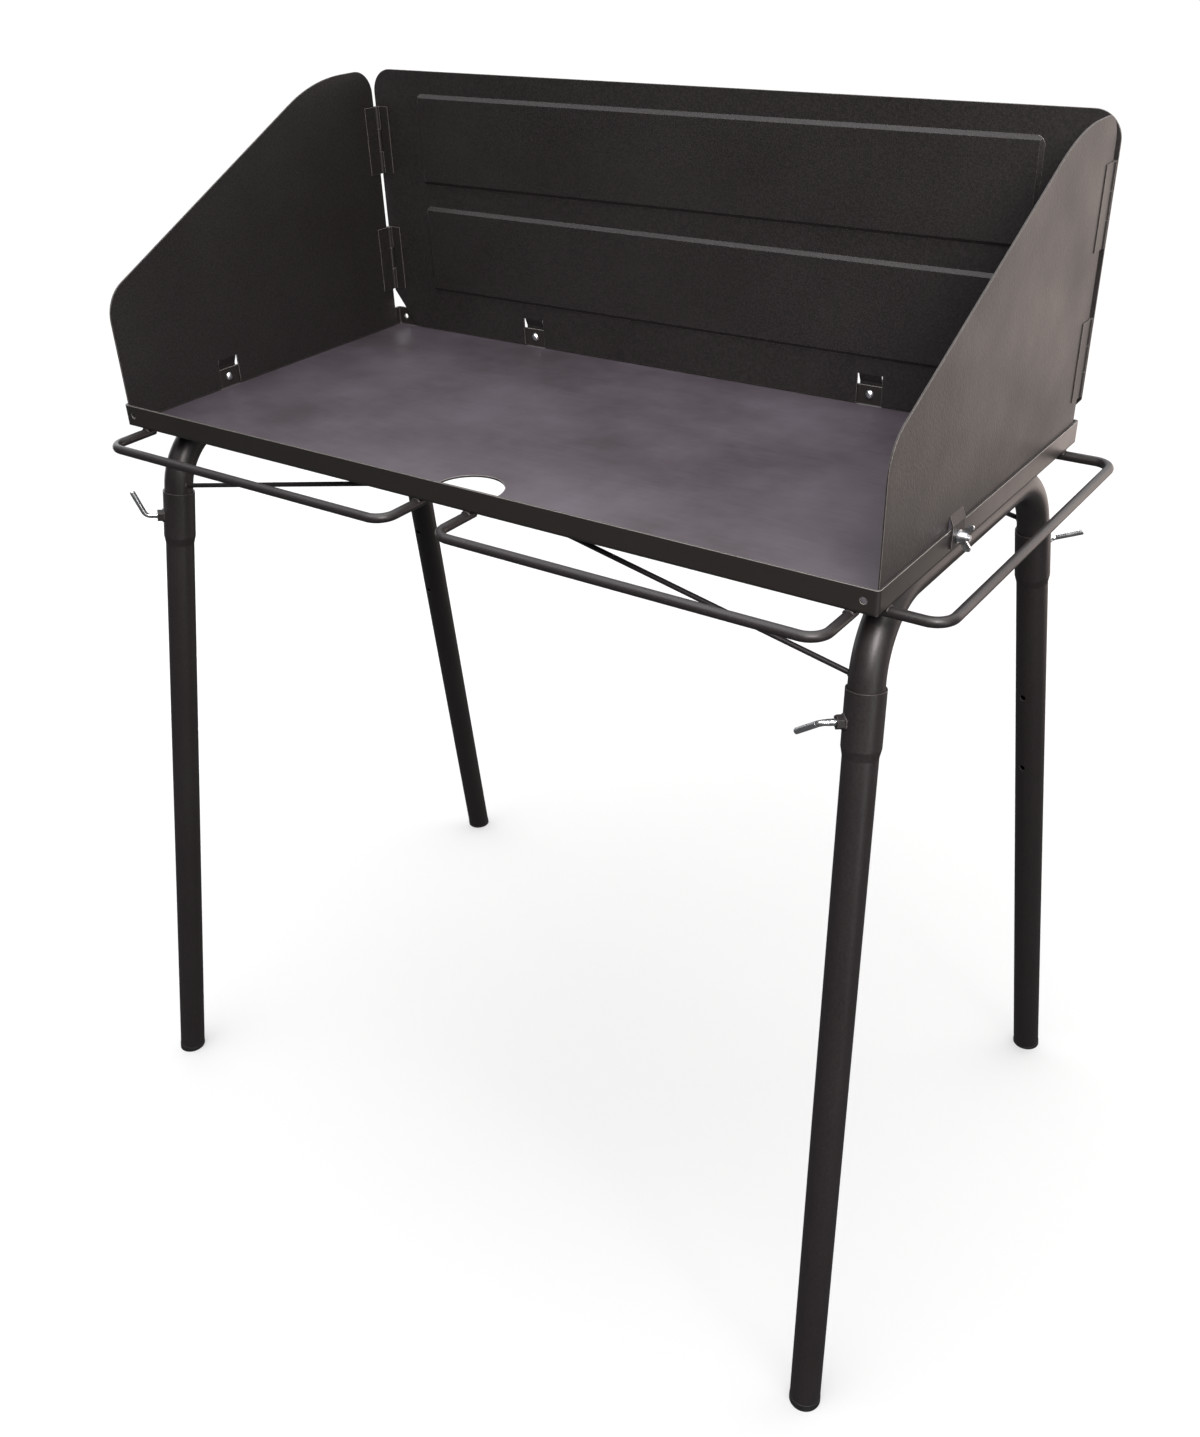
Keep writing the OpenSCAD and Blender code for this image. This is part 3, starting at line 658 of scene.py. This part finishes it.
def settle(obj: Object, body: str, finish: Finish, *stands_for: str) -> None:
    """Lets a new piece ride its body, and hides the nodes that it stands for.

    Args:
        obj: The piece.
        body: Body that carries it.
        finish: Its finish; not used.
        stands_for: Nodes that it replaces.
    """
    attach(obj, body)
    if stands_for:
        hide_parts(*stands_for)
    LOG.info("made %s on %s", obj.name, body)


# What the sub-assemblies use


@dataclass(frozen=True)
class Rod:
    """A round rod or tube, in millimetres, and how finely it is drawn."""

    diameter: float
    bend_r: float
    bend_steps: int
    sides: int
    closed_ends: bool = True

    def bend(self, name: str, path: list[Vector], shop: Workshop) -> Object:
        """Bends the rod along a path.

        Args:
            name: The new piece's name.
            path: Points of its middle line, in millimetres.
            shop: The object's finishes and trees.

        Returns:
            The bent piece.
        """
        return grow(name, shop.rod, path_mesh(name, [path]), {
            "Rod Radius": self.diameter / 2 * MM, "Bend Radius": self.bend_r * MM,
            "Bend Steps": self.bend_steps, "Sides": self.sides, "Closed Ends": self.closed_ends,
            "Finish": shop.made[Finish.TUBE]})


@dataclass(frozen=True)
class Bead:
    """A weld of overlapping drops, in millimetres, with the seed of their sizes."""

    radius: float
    ripple: float
    seed: int

    def lay(self, name: str, body: str, paths: Iterable[list[Vector]], closed: bool,
            shop: Workshop) -> None:
        """Lays the weld along lines.

        Args:
            name: The weld's name.
            body: Body that carries it.
            paths: Points of each line, in millimetres.
            closed: True for lines that are rings.
            shop: The object's finishes and trees.
        """
        weld = grow(name, shop.bead, path_mesh(name, list(paths), closed), {
            "Bead Radius": self.radius * MM, "Ripple": self.ripple * MM, "Seed": self.seed,
            "Finish": shop.made[Finish.TUBE]})
        settle(weld, body, Finish.TUBE)


@dataclass(frozen=True)
class Thread:
    """A screw thread, in millimetres, sunk a little into its shank."""

    radius: float
    length: float
    pitch: float
    sunk: float = 0.1
    ridge_share: float = 0.42

    def wind(self, name: str, body: str, start: Vector, out: Vector, shop: Workshop) -> None:
        """Winds the thread round a straight shank.

        Args:
            name: The piece's name.
            body: Body that carries it.
            start: Where the thread starts on the shank's middle line, in millimetres.
            out: Direction of the shank.
            shop: The object's finishes and trees.
        """
        coil = grow(name, shop.thread, path_mesh(name, [[Vector(), Vector((0, 0, 1))]]), {
            "Core Radius": (self.radius - self.sunk) * MM, "Turns": self.length / self.pitch,
            "Length": self.length * MM, "Ridge": self.pitch * self.ridge_share * MM,
            "Finish": shop.made[Finish.ZINC]})
        turn = Vector((0, 0, 1)).rotation_difference(out).to_matrix().to_4x4()
        coil.data.transform(Matrix.Translation(start * MM) @ turn)
        settle(coil, body, Finish.ZINC)


# Sub-assemblies


@dataclass
class CookTop:
    """The tray with its lip, its ash hole and its holes for bolts."""

    width: float = 900.0
    depth: float = 450.0
    underside: float = 870.5

    def dress(self, shop: Workshop) -> None:
        """Gives the tray its own satin coat."""
        shop.dress_nodes(["cook_tray"], Finish.TRAY)


@dataclass
class LegLines:
    """Where the frames' tubes and the legs run, as in the solids."""

    top: CookTop
    tube_d: float = 32.0
    tube_wall: float = 1.5
    frame_in: float = 24.0
    leg_in: float = 45.0
    bend_r: float = 75.0
    stub_free: float = 5.0
    splay_side: float = 3.6
    splay_fore: float = 9.1
    socket_l: float = 53.0
    weld_gap: float = 0.05

    def __post_init__(self) -> None:
        """Works out the lines' fixed points."""
        self.frame_x = self.top.width / 2 - self.frame_in
        self.frame_z = self.top.underside - self.weld_gap - self.tube_d / 2
        self.knee_y = self.top.depth / 2 - self.leg_in
        turn = math.radians(90 - self.splay_fore)
        self.socket_s = self.bend_r * math.tan(turn / 2) + self.stub_free
        self.stub_s = self.socket_s + self.socket_l

    def at_frame(self, side: Side) -> Matrix:
        """A frame's own plane, with its origin in the middle of the top tube."""
        lean = Matrix.Rotation(math.radians(-side.value * self.splay_side), 4, "Y")
        return Matrix.Translation((side.value * self.frame_x, 0, self.frame_z)) @ lean

    def at_leg(self, side: Side, end: End) -> Matrix:
        """A leg's own line, with its origin at the knee and -Z down along the leg."""
        lean = Matrix.Rotation(math.radians(end.value * self.splay_fore), 4, "X")
        return self.at_frame(side) @ Matrix.Translation((0, end.value * self.knee_y, 0)) @ lean

    def tube_path(self, side: Side) -> list[Vector]:
        """Follows a frame's middle line, from stub to stub.

        Args:
            side: Which frame.

        Returns:
            The line's points, in millimetres.
        """
        lean = math.radians(self.splay_fore)
        steps = [(End.FRONT, self.stub_s), (End.FRONT, 0.0),
                 (End.BACK, 0.0), (End.BACK, self.stub_s)]
        return [self.at_frame(side) @ Vector((
            0, end.value * (self.knee_y + s * math.sin(lean)), -s * math.cos(lean)))
            for end, s in steps]


@dataclass
class TubeFrames:
    """The two bent tube frames under the tray."""

    lines: LegLines
    bend_steps: int = 28
    sides: int = 64
    bead: Bead = Bead(radius=1.6, ripple=1.3, seed=3)
    bead_drop: float = 0.7
    stitch: float = 42.0
    stitch_across: tuple[float, ...] = (-6.0, 6.0)
    stitch_middles: tuple[float, ...] = (-75.0, 0.0, 75.0)

    def build(self, shop: Workshop) -> None:
        """Sweeps the tubes and lays the stitch welds that hold them to the tray.

        Args:
            shop: The object's finishes and trees.
        """
        tube = Rod(self.lines.tube_d, self.lines.bend_r, self.bend_steps, self.sides, False)
        for side in Side:
            name = f"{side.name.lower()}_frame"
            bent = tube.bend(f"{name}_tube", self.lines.tube_path(side), shop)
            hollow(bent, self.lines.tube_wall)
            settle(bent, "table", Finish.TUBE, name)
        self.bead.lay("frame_weld_beads", "table", self.weld_paths(), False, shop)

    def weld_paths(self) -> Iterable[list[Vector]]:
        """Draws short lines beside each top tube, against the tray's underside.

        Returns:
            Both ends of each line, in millimetres.
        """
        z = self.lines.top.underside - self.bead.radius * self.bead_drop
        half = self.stitch / 2
        for side in Side:
            for across in self.stitch_across:
                for middle in self.stitch_middles:
                    x = side.value * self.lines.frame_x + across
                    yield [Vector((x, middle - half, z)), Vector((x, middle + half, z))]


@dataclass
class RodWork:
    """The four brace rods and the three rails, all of bent round rod."""

    lines: LegLines
    brace: Rod = Rod(diameter=5.0, bend_r=15.0, bend_steps=14, sides=28)
    brace_up: float = 6.0
    brace_inner: float = 66.0
    brace_tail: float = 22.0
    brace_bite: float = 0.4
    rail: Rod = Rod(diameter=9.38, bend_r=18.0, bend_steps=16, sides=36)
    rail_reach: float = 47.0
    rail_in: float = 26.0
    rail_gap: float = 62.0
    rail_under: float = 13.0
    lip_bend_r: float = 4.0
    ring_bead: Bead = Bead(radius=1.1, ripple=0.9, seed=5)
    ring_up: float = 0.6
    ring_points: int = 24
    arc_bead: Bead = Bead(radius=1.3, ripple=1.1, seed=8)
    arc_clear: float = 0.1
    arc_depth_share: float = 0.55
    arc_degrees: range = range(-62, 63, 4)

    def __post_init__(self) -> None:
        """Works out the heights of the rods' middle lines."""
        under = self.lines.top.underside - self.lines.weld_gap
        self.rail_z = under - self.rail.diameter / 2
        self.brace_high = under - self.brace.diameter / 2

    def brace_path(self, side: Side, end: End) -> list[Vector]:
        """Follows a brace's middle line, from the tube's face to its tail.

        Args:
            side: Which side's brace.
            end: Which end's brace.

        Returns:
            The line's points, in millimetres.
        """
        down = Vector((0, 0, -(self.lines.socket_s - self.brace_up)))
        knot = self.lines.at_leg(side, end) @ down
        inner = Vector((side.value * self.brace_inner, knot.y, self.brace_high))
        tail_x = side.value * (self.brace_inner - self.brace_tail)
        slope = (inner - knot).normalized()
        low = knot + slope * (self.lines.tube_d / 2 - self.brace_bite)
        return [low, inner, Vector((tail_x, knot.y, self.brace_high))]

    def rail_paths(self) -> dict[str, list[Vector]]:
        """Follows each rail's middle line.

        Returns:
            Each line's points by node, in millimetres.
        """
        top = self.lines.top
        front, deep = -top.depth / 2 - self.rail_reach, -top.depth / 2 + self.rail_under
        paths = {}
        for side in Side:
            near = side.value * self.rail_gap / 2
            far = side.value * (top.width / 2 - self.rail_in)
            paths[f"front_rail_{side.name.lower()}"] = [
                Vector((near, deep, self.rail_z)), Vector((near, front, self.rail_z)),
                Vector((far, front, self.rail_z)), Vector((far, deep, self.rail_z))]
        out, inside = top.width / 2 + self.rail_reach, top.width / 2 - self.rail_under
        reach = top.depth / 2 - self.rail_in
        paths["side_rail"] = [
            Vector((inside, -reach, self.rail_z)), Vector((out, -reach, self.rail_z)),
            Vector((out, reach, self.rail_z)), Vector((inside, reach, self.rail_z))]
        return paths

    def build(self, shop: Workshop) -> None:
        """Sweeps the rods and lays the welds at their ends.

        Args:
            shop: The object's finishes and trees.
        """
        for corner, side, end in corners():
            name = f"{corner}_brace"
            rod = self.brace.bend(f"{name}_rod", self.brace_path(side, end), shop)
            settle(rod, "table", Finish.TUBE, name)
        for name, path in self.rail_paths().items():
            rod = self.rail.bend(f"{name}_rod", path, shop)
            settle(rod, "table", Finish.TUBE, name)
        self.ring_bead.lay("brace_weld_beads", "table", self.brace_welds(), True, shop)
        self.arc_bead.lay("rail_weld_beads", "table", self.rail_welds(), False, shop)

    def brace_welds(self) -> Iterable[list[Vector]]:
        """Draws rings round the braces' lower ends, on the tubes.

        Returns:
            Points of each closed ring, in millimetres.
        """
        angles = [math.tau * i / self.ring_points for i in range(self.ring_points)]
        for _, side, end in corners():
            low, inner, _ = self.brace_path(side, end)
            slope = (inner - low).normalized()
            across = slope.cross(Vector((0, 1, 0))).normalized()
            up = across.cross(slope)
            yield [low + slope * self.ring_up
                   + (across * math.cos(a) + up * math.sin(a)) * (self.brace.diameter / 2)
                   for a in angles]

    def rail_welds(self) -> Iterable[list[Vector]]:
        """Draws arcs over the rails' arms, in the hollow under the lip's bend.

        Returns:
            Points of each arc, in millimetres.
        """
        reach = self.rail.diameter / 2 + self.arc_clear
        angles = [math.radians(t) for t in self.arc_degrees]
        for path in self.rail_paths().values():
            for end, start in ((path[0], path[1]), (path[3], path[2])):
                out = (start - end).normalized()
                across = Vector((0, 0, 1)).cross(out)
                at = end + out * (self.rail_under - self.lip_bend_r * self.arc_depth_share)
                yield [at + across * math.sin(a) * reach + Vector((0, 0, math.cos(a) * reach))
                       for a in angles]


@dataclass
class Windscreen:
    """The back screen, the wings and their hinges."""

    sheets: tuple[str, ...] = ("back_screen", "left_wing", "right_wing")
    hinge_rows: tuple[str, ...] = ("lower", "upper")
    hinge_parts: tuple[str, ...] = ("wing_leaf", "screen_leaf", "hinge_pin")
    wing_front: float = -221.0
    wing_front_top: float = 1008.0
    near: float = 0.05
    merge: float = 0.005

    def dress(self, shop: Workshop) -> None:
        """Gives sheets and hinges their coat.

        Args:
            shop: The object's finishes and trees.
        """
        hinges = [f"{side.name.lower()}_{row}_{part}"
                  for side in Side for row in self.hinge_rows for part in self.hinge_parts]
        shop.dress_nodes([*self.sheets, *hinges], Finish.SHEET)

    def build(self, shop: Workshop) -> None:
        """Draws the wings again, without the hairline that the solids keep at the front corner.

        Args:
            shop: The object's finishes and trees.
        """
        for side in Side:
            name = f"{side.name.lower()}_wing"
            mesh = bpy.data.meshes.new(f"{name}_sheet")
            sheet = bmesh.new()
            sheet.from_mesh(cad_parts[name].data)
            bmesh.ops.remove_doubles(sheet, verts=sheet.verts, dist=self.merge * MM)
            bmesh.ops.weld_verts(sheet, targetmap=self.hairline_ends(sheet))
            for face in sheet.faces:
                face.smooth = False
            sheet.to_mesh(mesh)
            sheet.free()
            if "custom_normal" in mesh.attributes:
                mesh.attributes.remove(mesh.attributes["custom_normal"])
            wing = bpy.data.objects.new(f"{name}_sheet", mesh)
            bpy.context.collection.objects.link(wing)
            shop.dress(wing, Finish.SHEET)
            settle(wing, "windscreen", Finish.SHEET, name)

    def hairline_ends(self, sheet: bmesh.types.BMesh) -> dict[
            bmesh.types.BMVert, bmesh.types.BMVert]:
        """Finds the points that a wing's outline keeps at the corner that it rounds off.

        Args:
            sheet: The wing's mesh, with its doubles merged.

        Returns:
            For each such point, the end of the rounded corner on the same face of the sheet.
        """
        near = self.near * MM
        ends = {}
        for point in sheet.verts:
            if (abs(point.co.y - self.wing_front * MM) < near
                    and abs(point.co.z - self.wing_front_top * MM) < near):
                others = [edge.other_vert(point) for edge in point.link_edges]
                level = [v for v in others if abs(v.co.x - point.co.x) < near]
                ends[point] = min(level, key=lambda v: (v.co - point.co).length)
        return ends


@dataclass
class ScreenBolts:
    """The bolts, washers and wing nuts that hold the windscreen."""

    hardware: tuple[str, ...] = (
        "screen_bolts", "screen_washers", "left_wing_nut", "right_wing_nut",
        "back_left_wing_nut", "back_right_wing_nut")
    bolt_d: float = 5.0
    bolt_z: float = 884.5
    nut_face: float = 11.8
    bolt_end: float = 3.0
    pitch: float = 0.8
    thread_gap: float = 0.3
    thread_short: float = 0.6
    side_face: float = 447.8
    back_face: float = 222.8
    wing_tab_y: float = -75.0
    back_tab_x: float = 225.0

    def dress(self, shop: Workshop) -> None:
        """Gives the hardware its zinc."""
        shop.dress_nodes(self.hardware, Finish.ZINC)

    def build(self, shop: Workshop) -> None:
        """Winds the threads that show past the nuts.

        Args:
            shop: The object's finishes and trees.
        """
        thread = Thread(self.bolt_d / 2, self.bolt_end - self.thread_short, self.pitch)
        z = self.bolt_z
        places = {
            "left": (Vector((-self.side_face, self.wing_tab_y, z)), Vector((-1, 0, 0))),
            "right": (Vector((self.side_face, self.wing_tab_y, z)), Vector((1, 0, 0))),
            "back_left": (Vector((-self.back_tab_x, self.back_face, z)), Vector((0, 1, 0))),
            "back_right": (Vector((self.back_tab_x, self.back_face, z)), Vector((0, 1, 0)))}
        for name, (face, out) in places.items():
            start = face + out * (self.nut_face + self.thread_gap)
            thread.wind(f"{name}_bolt_thread", "table", start, out, shop)


@dataclass
class PullOffLegs:
    """The four legs with their caps, weld nuts and thumb screws."""

    lines: LegLines
    socket_ro: float = 17.8
    screw_down: float = 29.5
    nut_af: float = 12.0
    nut_h: float = 6.5
    neck: float = 8.0
    screw_d: float = 6.0
    pitch: float = 1.0
    thread_gap: float = 0.3
    thread_short: float = 1.0
    weld: Bead = Bead(radius=1.2, ripple=1.2, seed=11)
    weld_clear: float = 0.2
    weld_points: int = 36
    turns: dict[str, float] = field(default_factory=lambda: {
        "front_left": -37.0, "front_right": -46.0, "back_left": -3.0, "back_right": -11.0})
    finishes: dict[str, Finish] = field(default_factory=lambda: {
        "leg": Finish.TUBE, "clamp_nut": Finish.TUBE, "foot_cap": Finish.CAP,
        "thumb_screw": Finish.ZINC})

    def at_screw(self, corner: str, side: Side, end: End) -> Matrix:
        """Places a thumb screw's own line.

        Args:
            corner: The corner's name.
            side: The corner's side.
            end: The corner's end.

        Returns:
            The line's place, with its origin on the leg's line and +X outwards.
        """
        turn = self.turns[corner] + end.value * 90
        down = Matrix.Translation((0, 0, -(self.lines.socket_s + self.screw_down)))
        return self.lines.at_leg(side, end) @ down @ Matrix.Rotation(math.radians(turn), 4, "Z")

    def dress(self, shop: Workshop) -> None:
        """Gives tubes, caps and screws their finishes."""
        for part, finish in self.finishes.items():
            shop.dress_nodes([f"{corner}_{part}" for corner, _, _ in corners()], finish)

    def build(self, shop: Workshop) -> None:
        """Lays the weld round each nut and winds each screw's thread.

        Args:
            shop: The object's finishes and trees.
        """
        thread = Thread(self.screw_d / 2, self.neck - self.thread_short, self.pitch)
        for corner, side, end in corners():
            place = self.at_screw(corner, side, end)
            ring = self.nut_ring(place)
            self.weld.lay(f"{corner}_nut_weld", f"{corner}_leg_body", [ring], True, shop)
            out = (place.to_3x3() @ Vector((1, 0, 0))).normalized()
            start = place @ Vector((self.socket_ro + self.nut_h + self.thread_gap, 0, 0))
            thread.wind(f"{corner}_screw_thread", f"{corner}_screw_body", start, out, shop)

    def nut_ring(self, place: Matrix) -> list[Vector]:
        """Draws a ring round a weld nut's foot, on the socket's wall.

        Args:
            place: The screw's own line.

        Returns:
            Points of a closed ring, in millimetres.
        """
        sixth = math.pi / 3
        ring = []
        for i in range(self.weld_points):
            angle = math.tau * i / self.weld_points
            from_flat = (angle + sixth / 2) % sixth - sixth / 2
            reach = self.nut_af / 2 / math.cos(from_flat) + self.weld_clear
            y, z = reach * math.cos(angle), reach * math.sin(angle)
            wall = math.sqrt(self.socket_ro ** 2 - y * y)
            ring.append(place @ Vector((wall + self.weld_clear, y, z)))
        return ring


# Studio


@dataclass
class Camera:
    """The picture's pinhole camera, for a frame of 1200 by 1437."""

    place: tuple[float, float, float] = (851.01, -1147.87, 1380.98)
    azimuth: float = 36.6469
    elevation: float = 32.2995
    roll: float = 2.4374
    focal_px: float = 1409.54
    centre_px: tuple[float, float] = (589.456, 749.895)
    frame_px: tuple[int, int] = (1200, 1437)
    sensor_mm: float = 36.0
    sees_to: float = 100.0

    def build(self) -> None:
        """Makes the camera and hands it to the scene."""
        az, el, roll = (math.radians(a) for a in (self.azimuth, self.elevation, self.roll))
        ahead = Vector((-math.sin(az) * math.cos(el), math.cos(az) * math.cos(el), -math.sin(el)))
        right = Vector((math.cos(az), math.sin(az), 0))
        down = ahead.cross(right)
        tilted_right = right * math.cos(roll) + down * math.sin(roll)
        tilted_down = down * math.cos(roll) - right * math.sin(roll)
        turn = Matrix((tilted_right, -tilted_down, -ahead)).transposed().to_4x4()
        width, height = self.frame_px
        data = bpy.data.cameras.new("picture_camera")
        longest = max(width, height)
        data.sensor_fit = "VERTICAL"
        data.sensor_height = self.sensor_mm
        data.lens = self.focal_px / height * self.sensor_mm
        data.shift_x = (width / 2 - self.centre_px[0]) / longest
        data.shift_y = (self.centre_px[1] - height / 2) / longest
        data.clip_end = self.sees_to
        camera = bpy.data.objects.new("picture_camera", data)
        camera.matrix_world = Matrix.Translation(Vector(self.place) * MM) @ turn
        bpy.context.collection.objects.link(camera)
        bpy.context.scene.camera = camera


@dataclass(frozen=True)
class SoftLight:
    """A flat soft light that faces the object, in metres and watts."""

    name: str
    place: tuple[float, float, float]
    size: tuple[float, float]
    power: float
    colour: tuple[float, float, float] = WHITE[:3]


@dataclass
class Studio:
    """A pale floor and surround with five soft lights."""

    floor_half: float = 20.0
    floor_z: float = -0.0003
    floor_glow: float = 0.42
    floor_grey: float = 0.30
    surround: float = 1.05
    haze: float = 0.10
    backdrop: float = 1.8
    backdrop_behind: tuple[float, float] = (0.15, 0.65)
    backdrop_raised: tuple[float, float] = (0.05, 0.40)
    top_strength: float = 5.0
    top_spread: float = 75.0
    top_place: tuple[float, float, float] = (0.0, 0.0, 3.0)
    top_from: tuple[float, float, float] = (-0.05, -0.25, 1.0)
    aim: tuple[float, float, float] = (0.0, 0.0, 0.95)
    key: SoftLight = SoftLight(
        "key_softbox", (1.40, -1.35, 2.00), (0.7, 0.7), 60.0, (1.0, 0.94, 0.91))
    panels: tuple[SoftLight, ...] = (
        SoftLight("side_panel", (1.35, 2.35, 0.80), (2.4, 1.9), 34.0, (1.0, 0.85, 0.78)),
        SoftLight("strip_softbox", (2.30, -0.90, 1.00), (0.4, 1.9), 11.0),
        SoftLight("left_panel", (-2.20, 0.60, 1.10), (1.6, 1.9), 16.0))

    def floor(self) -> Object:
        """Lays a wide plain floor, which glows a little so that it stays pale round a faint shadow.

        Returns:
            The floor.
        """
        mesh = bpy.data.meshes.new("studio_floor")
        half, z = self.floor_half, self.floor_z
        mesh.from_pydata([(-half, -half, z), (half, -half, z), (half, half, z), (-half, half, z)],
                         [], [(0, 1, 2, 3)])
        floor = bpy.data.objects.new("studio_floor", mesh)
        bpy.context.collection.objects.link(floor)
        material, tree = new_material("studio_floor_paper")
        grey = self.floor_grey
        shader = add(tree, "ShaderNodeBsdfPrincipled", {
            "Base Color": (grey, grey, grey, 1.0), "Roughness": 1.0, "Specular IOR Level": 0.0,
            "Emission Color": WHITE, "Emission Strength": self.floor_glow})
        add(tree, "ShaderNodeOutputMaterial", {"Surface": shader})
        mesh.materials.append(material)
        floor.visible_diffuse = False
        floor.visible_glossy = False
        return floor

    def world(self) -> None:
        """Sets a pale surround for the camera, and a dim one with a pale sweep for the object."""
        world = bpy.data.worlds.new("pale_surround")
        world.use_nodes = True
        tree = world.node_tree
        tree.nodes.clear()
        white = add(tree, "ShaderNodeBackground", {"Color": WHITE, "Strength": self.surround})
        way = add(tree, "ShaderNodeSeparateXYZ", {
            "Vector": add(tree, "ShaderNodeTexCoord").outputs["Generated"]})
        behind, raised = (add(tree, "ShaderNodeMapRange", {
            "Value": way.outputs[axis], "From Min": limits[0], "From Max": limits[1]})
            for axis, limits in (("Y", self.backdrop_behind), ("Z", self.backdrop_raised)))
        sweep = add(tree, "ShaderNodeMath", {0: behind, 1: raised}, operation="MULTIPLY")
        glow = add(tree, "ShaderNodeMath", {
            0: sweep, 1: self.backdrop, 2: self.haze}, operation="MULTIPLY_ADD")
        haze = add(tree, "ShaderNodeBackground", {"Color": WHITE, "Strength": glow})
        seen = add(tree, "ShaderNodeLightPath")
        both = add(tree, "ShaderNodeMixShader", {
            0: seen.outputs["Is Camera Ray"], 1: haze, 2: white})
        add(tree, "ShaderNodeOutputWorld", {"Surface": both})
        bpy.context.scene.world = world

    def lamp(self, name: str, kind: str, place: Vector, towards: Vector, **settings: Any) -> Object:
        """Hangs a lamp.

        Args:
            name: The lamp's name.
            kind: Blender's kind of light.
            place: Where it hangs, in metres.
            towards: Direction from the object to the lamp.
            settings: The light's own properties.

        Returns:
            The lamp.
        """
        data = bpy.data.lights.new(name, kind)
        for key, value in settings.items():
            setattr(data, key, value)
        lamp = bpy.data.objects.new(name, data)
        lamp.location = place
        lamp.rotation_euler = towards.to_track_quat("Z", "Y").to_euler()
        lamp.visible_camera = False
        bpy.context.collection.objects.link(lamp)
        return lamp

    def hang(self, light: SoftLight) -> Object:
        """Hangs a soft light, so that it faces the middle of the object.

        Args:
            light: The light.

        Returns:
            The lamp.
        """
        place = Vector(light.place)
        return self.lamp(light.name, "AREA", place, place - Vector(self.aim), energy=light.power,
                         shape="RECTANGLE", size=light.size[0], size_y=light.size[1],
                         color=light.colour)

    def build(self) -> None:
        """Builds floor, surround, lights and colour handling."""
        floor = self.floor()
        self.world()
        self.lamp("top_light", "SUN", Vector(self.top_place), Vector(self.top_from),
                  energy=self.top_strength, angle=math.radians(self.top_spread))
        key = self.hang(self.key)
        spared = bpy.data.collections.new("spared_by_key_softbox")
        spared.objects.link(floor)
        spared.collection_objects[0].light_linking.link_state = "EXCLUDE"
        key.light_linking.receiver_collection = spared
        for panel in self.panels:
            self.hang(panel)
        bpy.context.scene.view_settings.view_transform = "Standard"


def main() -> None:
    """Builds and dresses every sub-assembly, then the studio."""
    logging.basicConfig(level=logging.INFO, format="%(name)s: %(message)s")
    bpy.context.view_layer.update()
    shop = Workshop()
    top = CookTop()
    lines = LegLines(top)
    Camera().build()
    top.dress(shop)
    TubeFrames(lines).build(shop)
    RodWork(lines).build(shop)
    screen = Windscreen()
    screen.dress(shop)
    screen.build(shop)
    bolts = ScreenBolts()
    bolts.dress(shop)
    bolts.build(shop)
    legs = PullOffLegs(lines)
    legs.dress(shop)
    legs.build(shop)
    Studio().build()


if __name__ == "__main__":
    main()
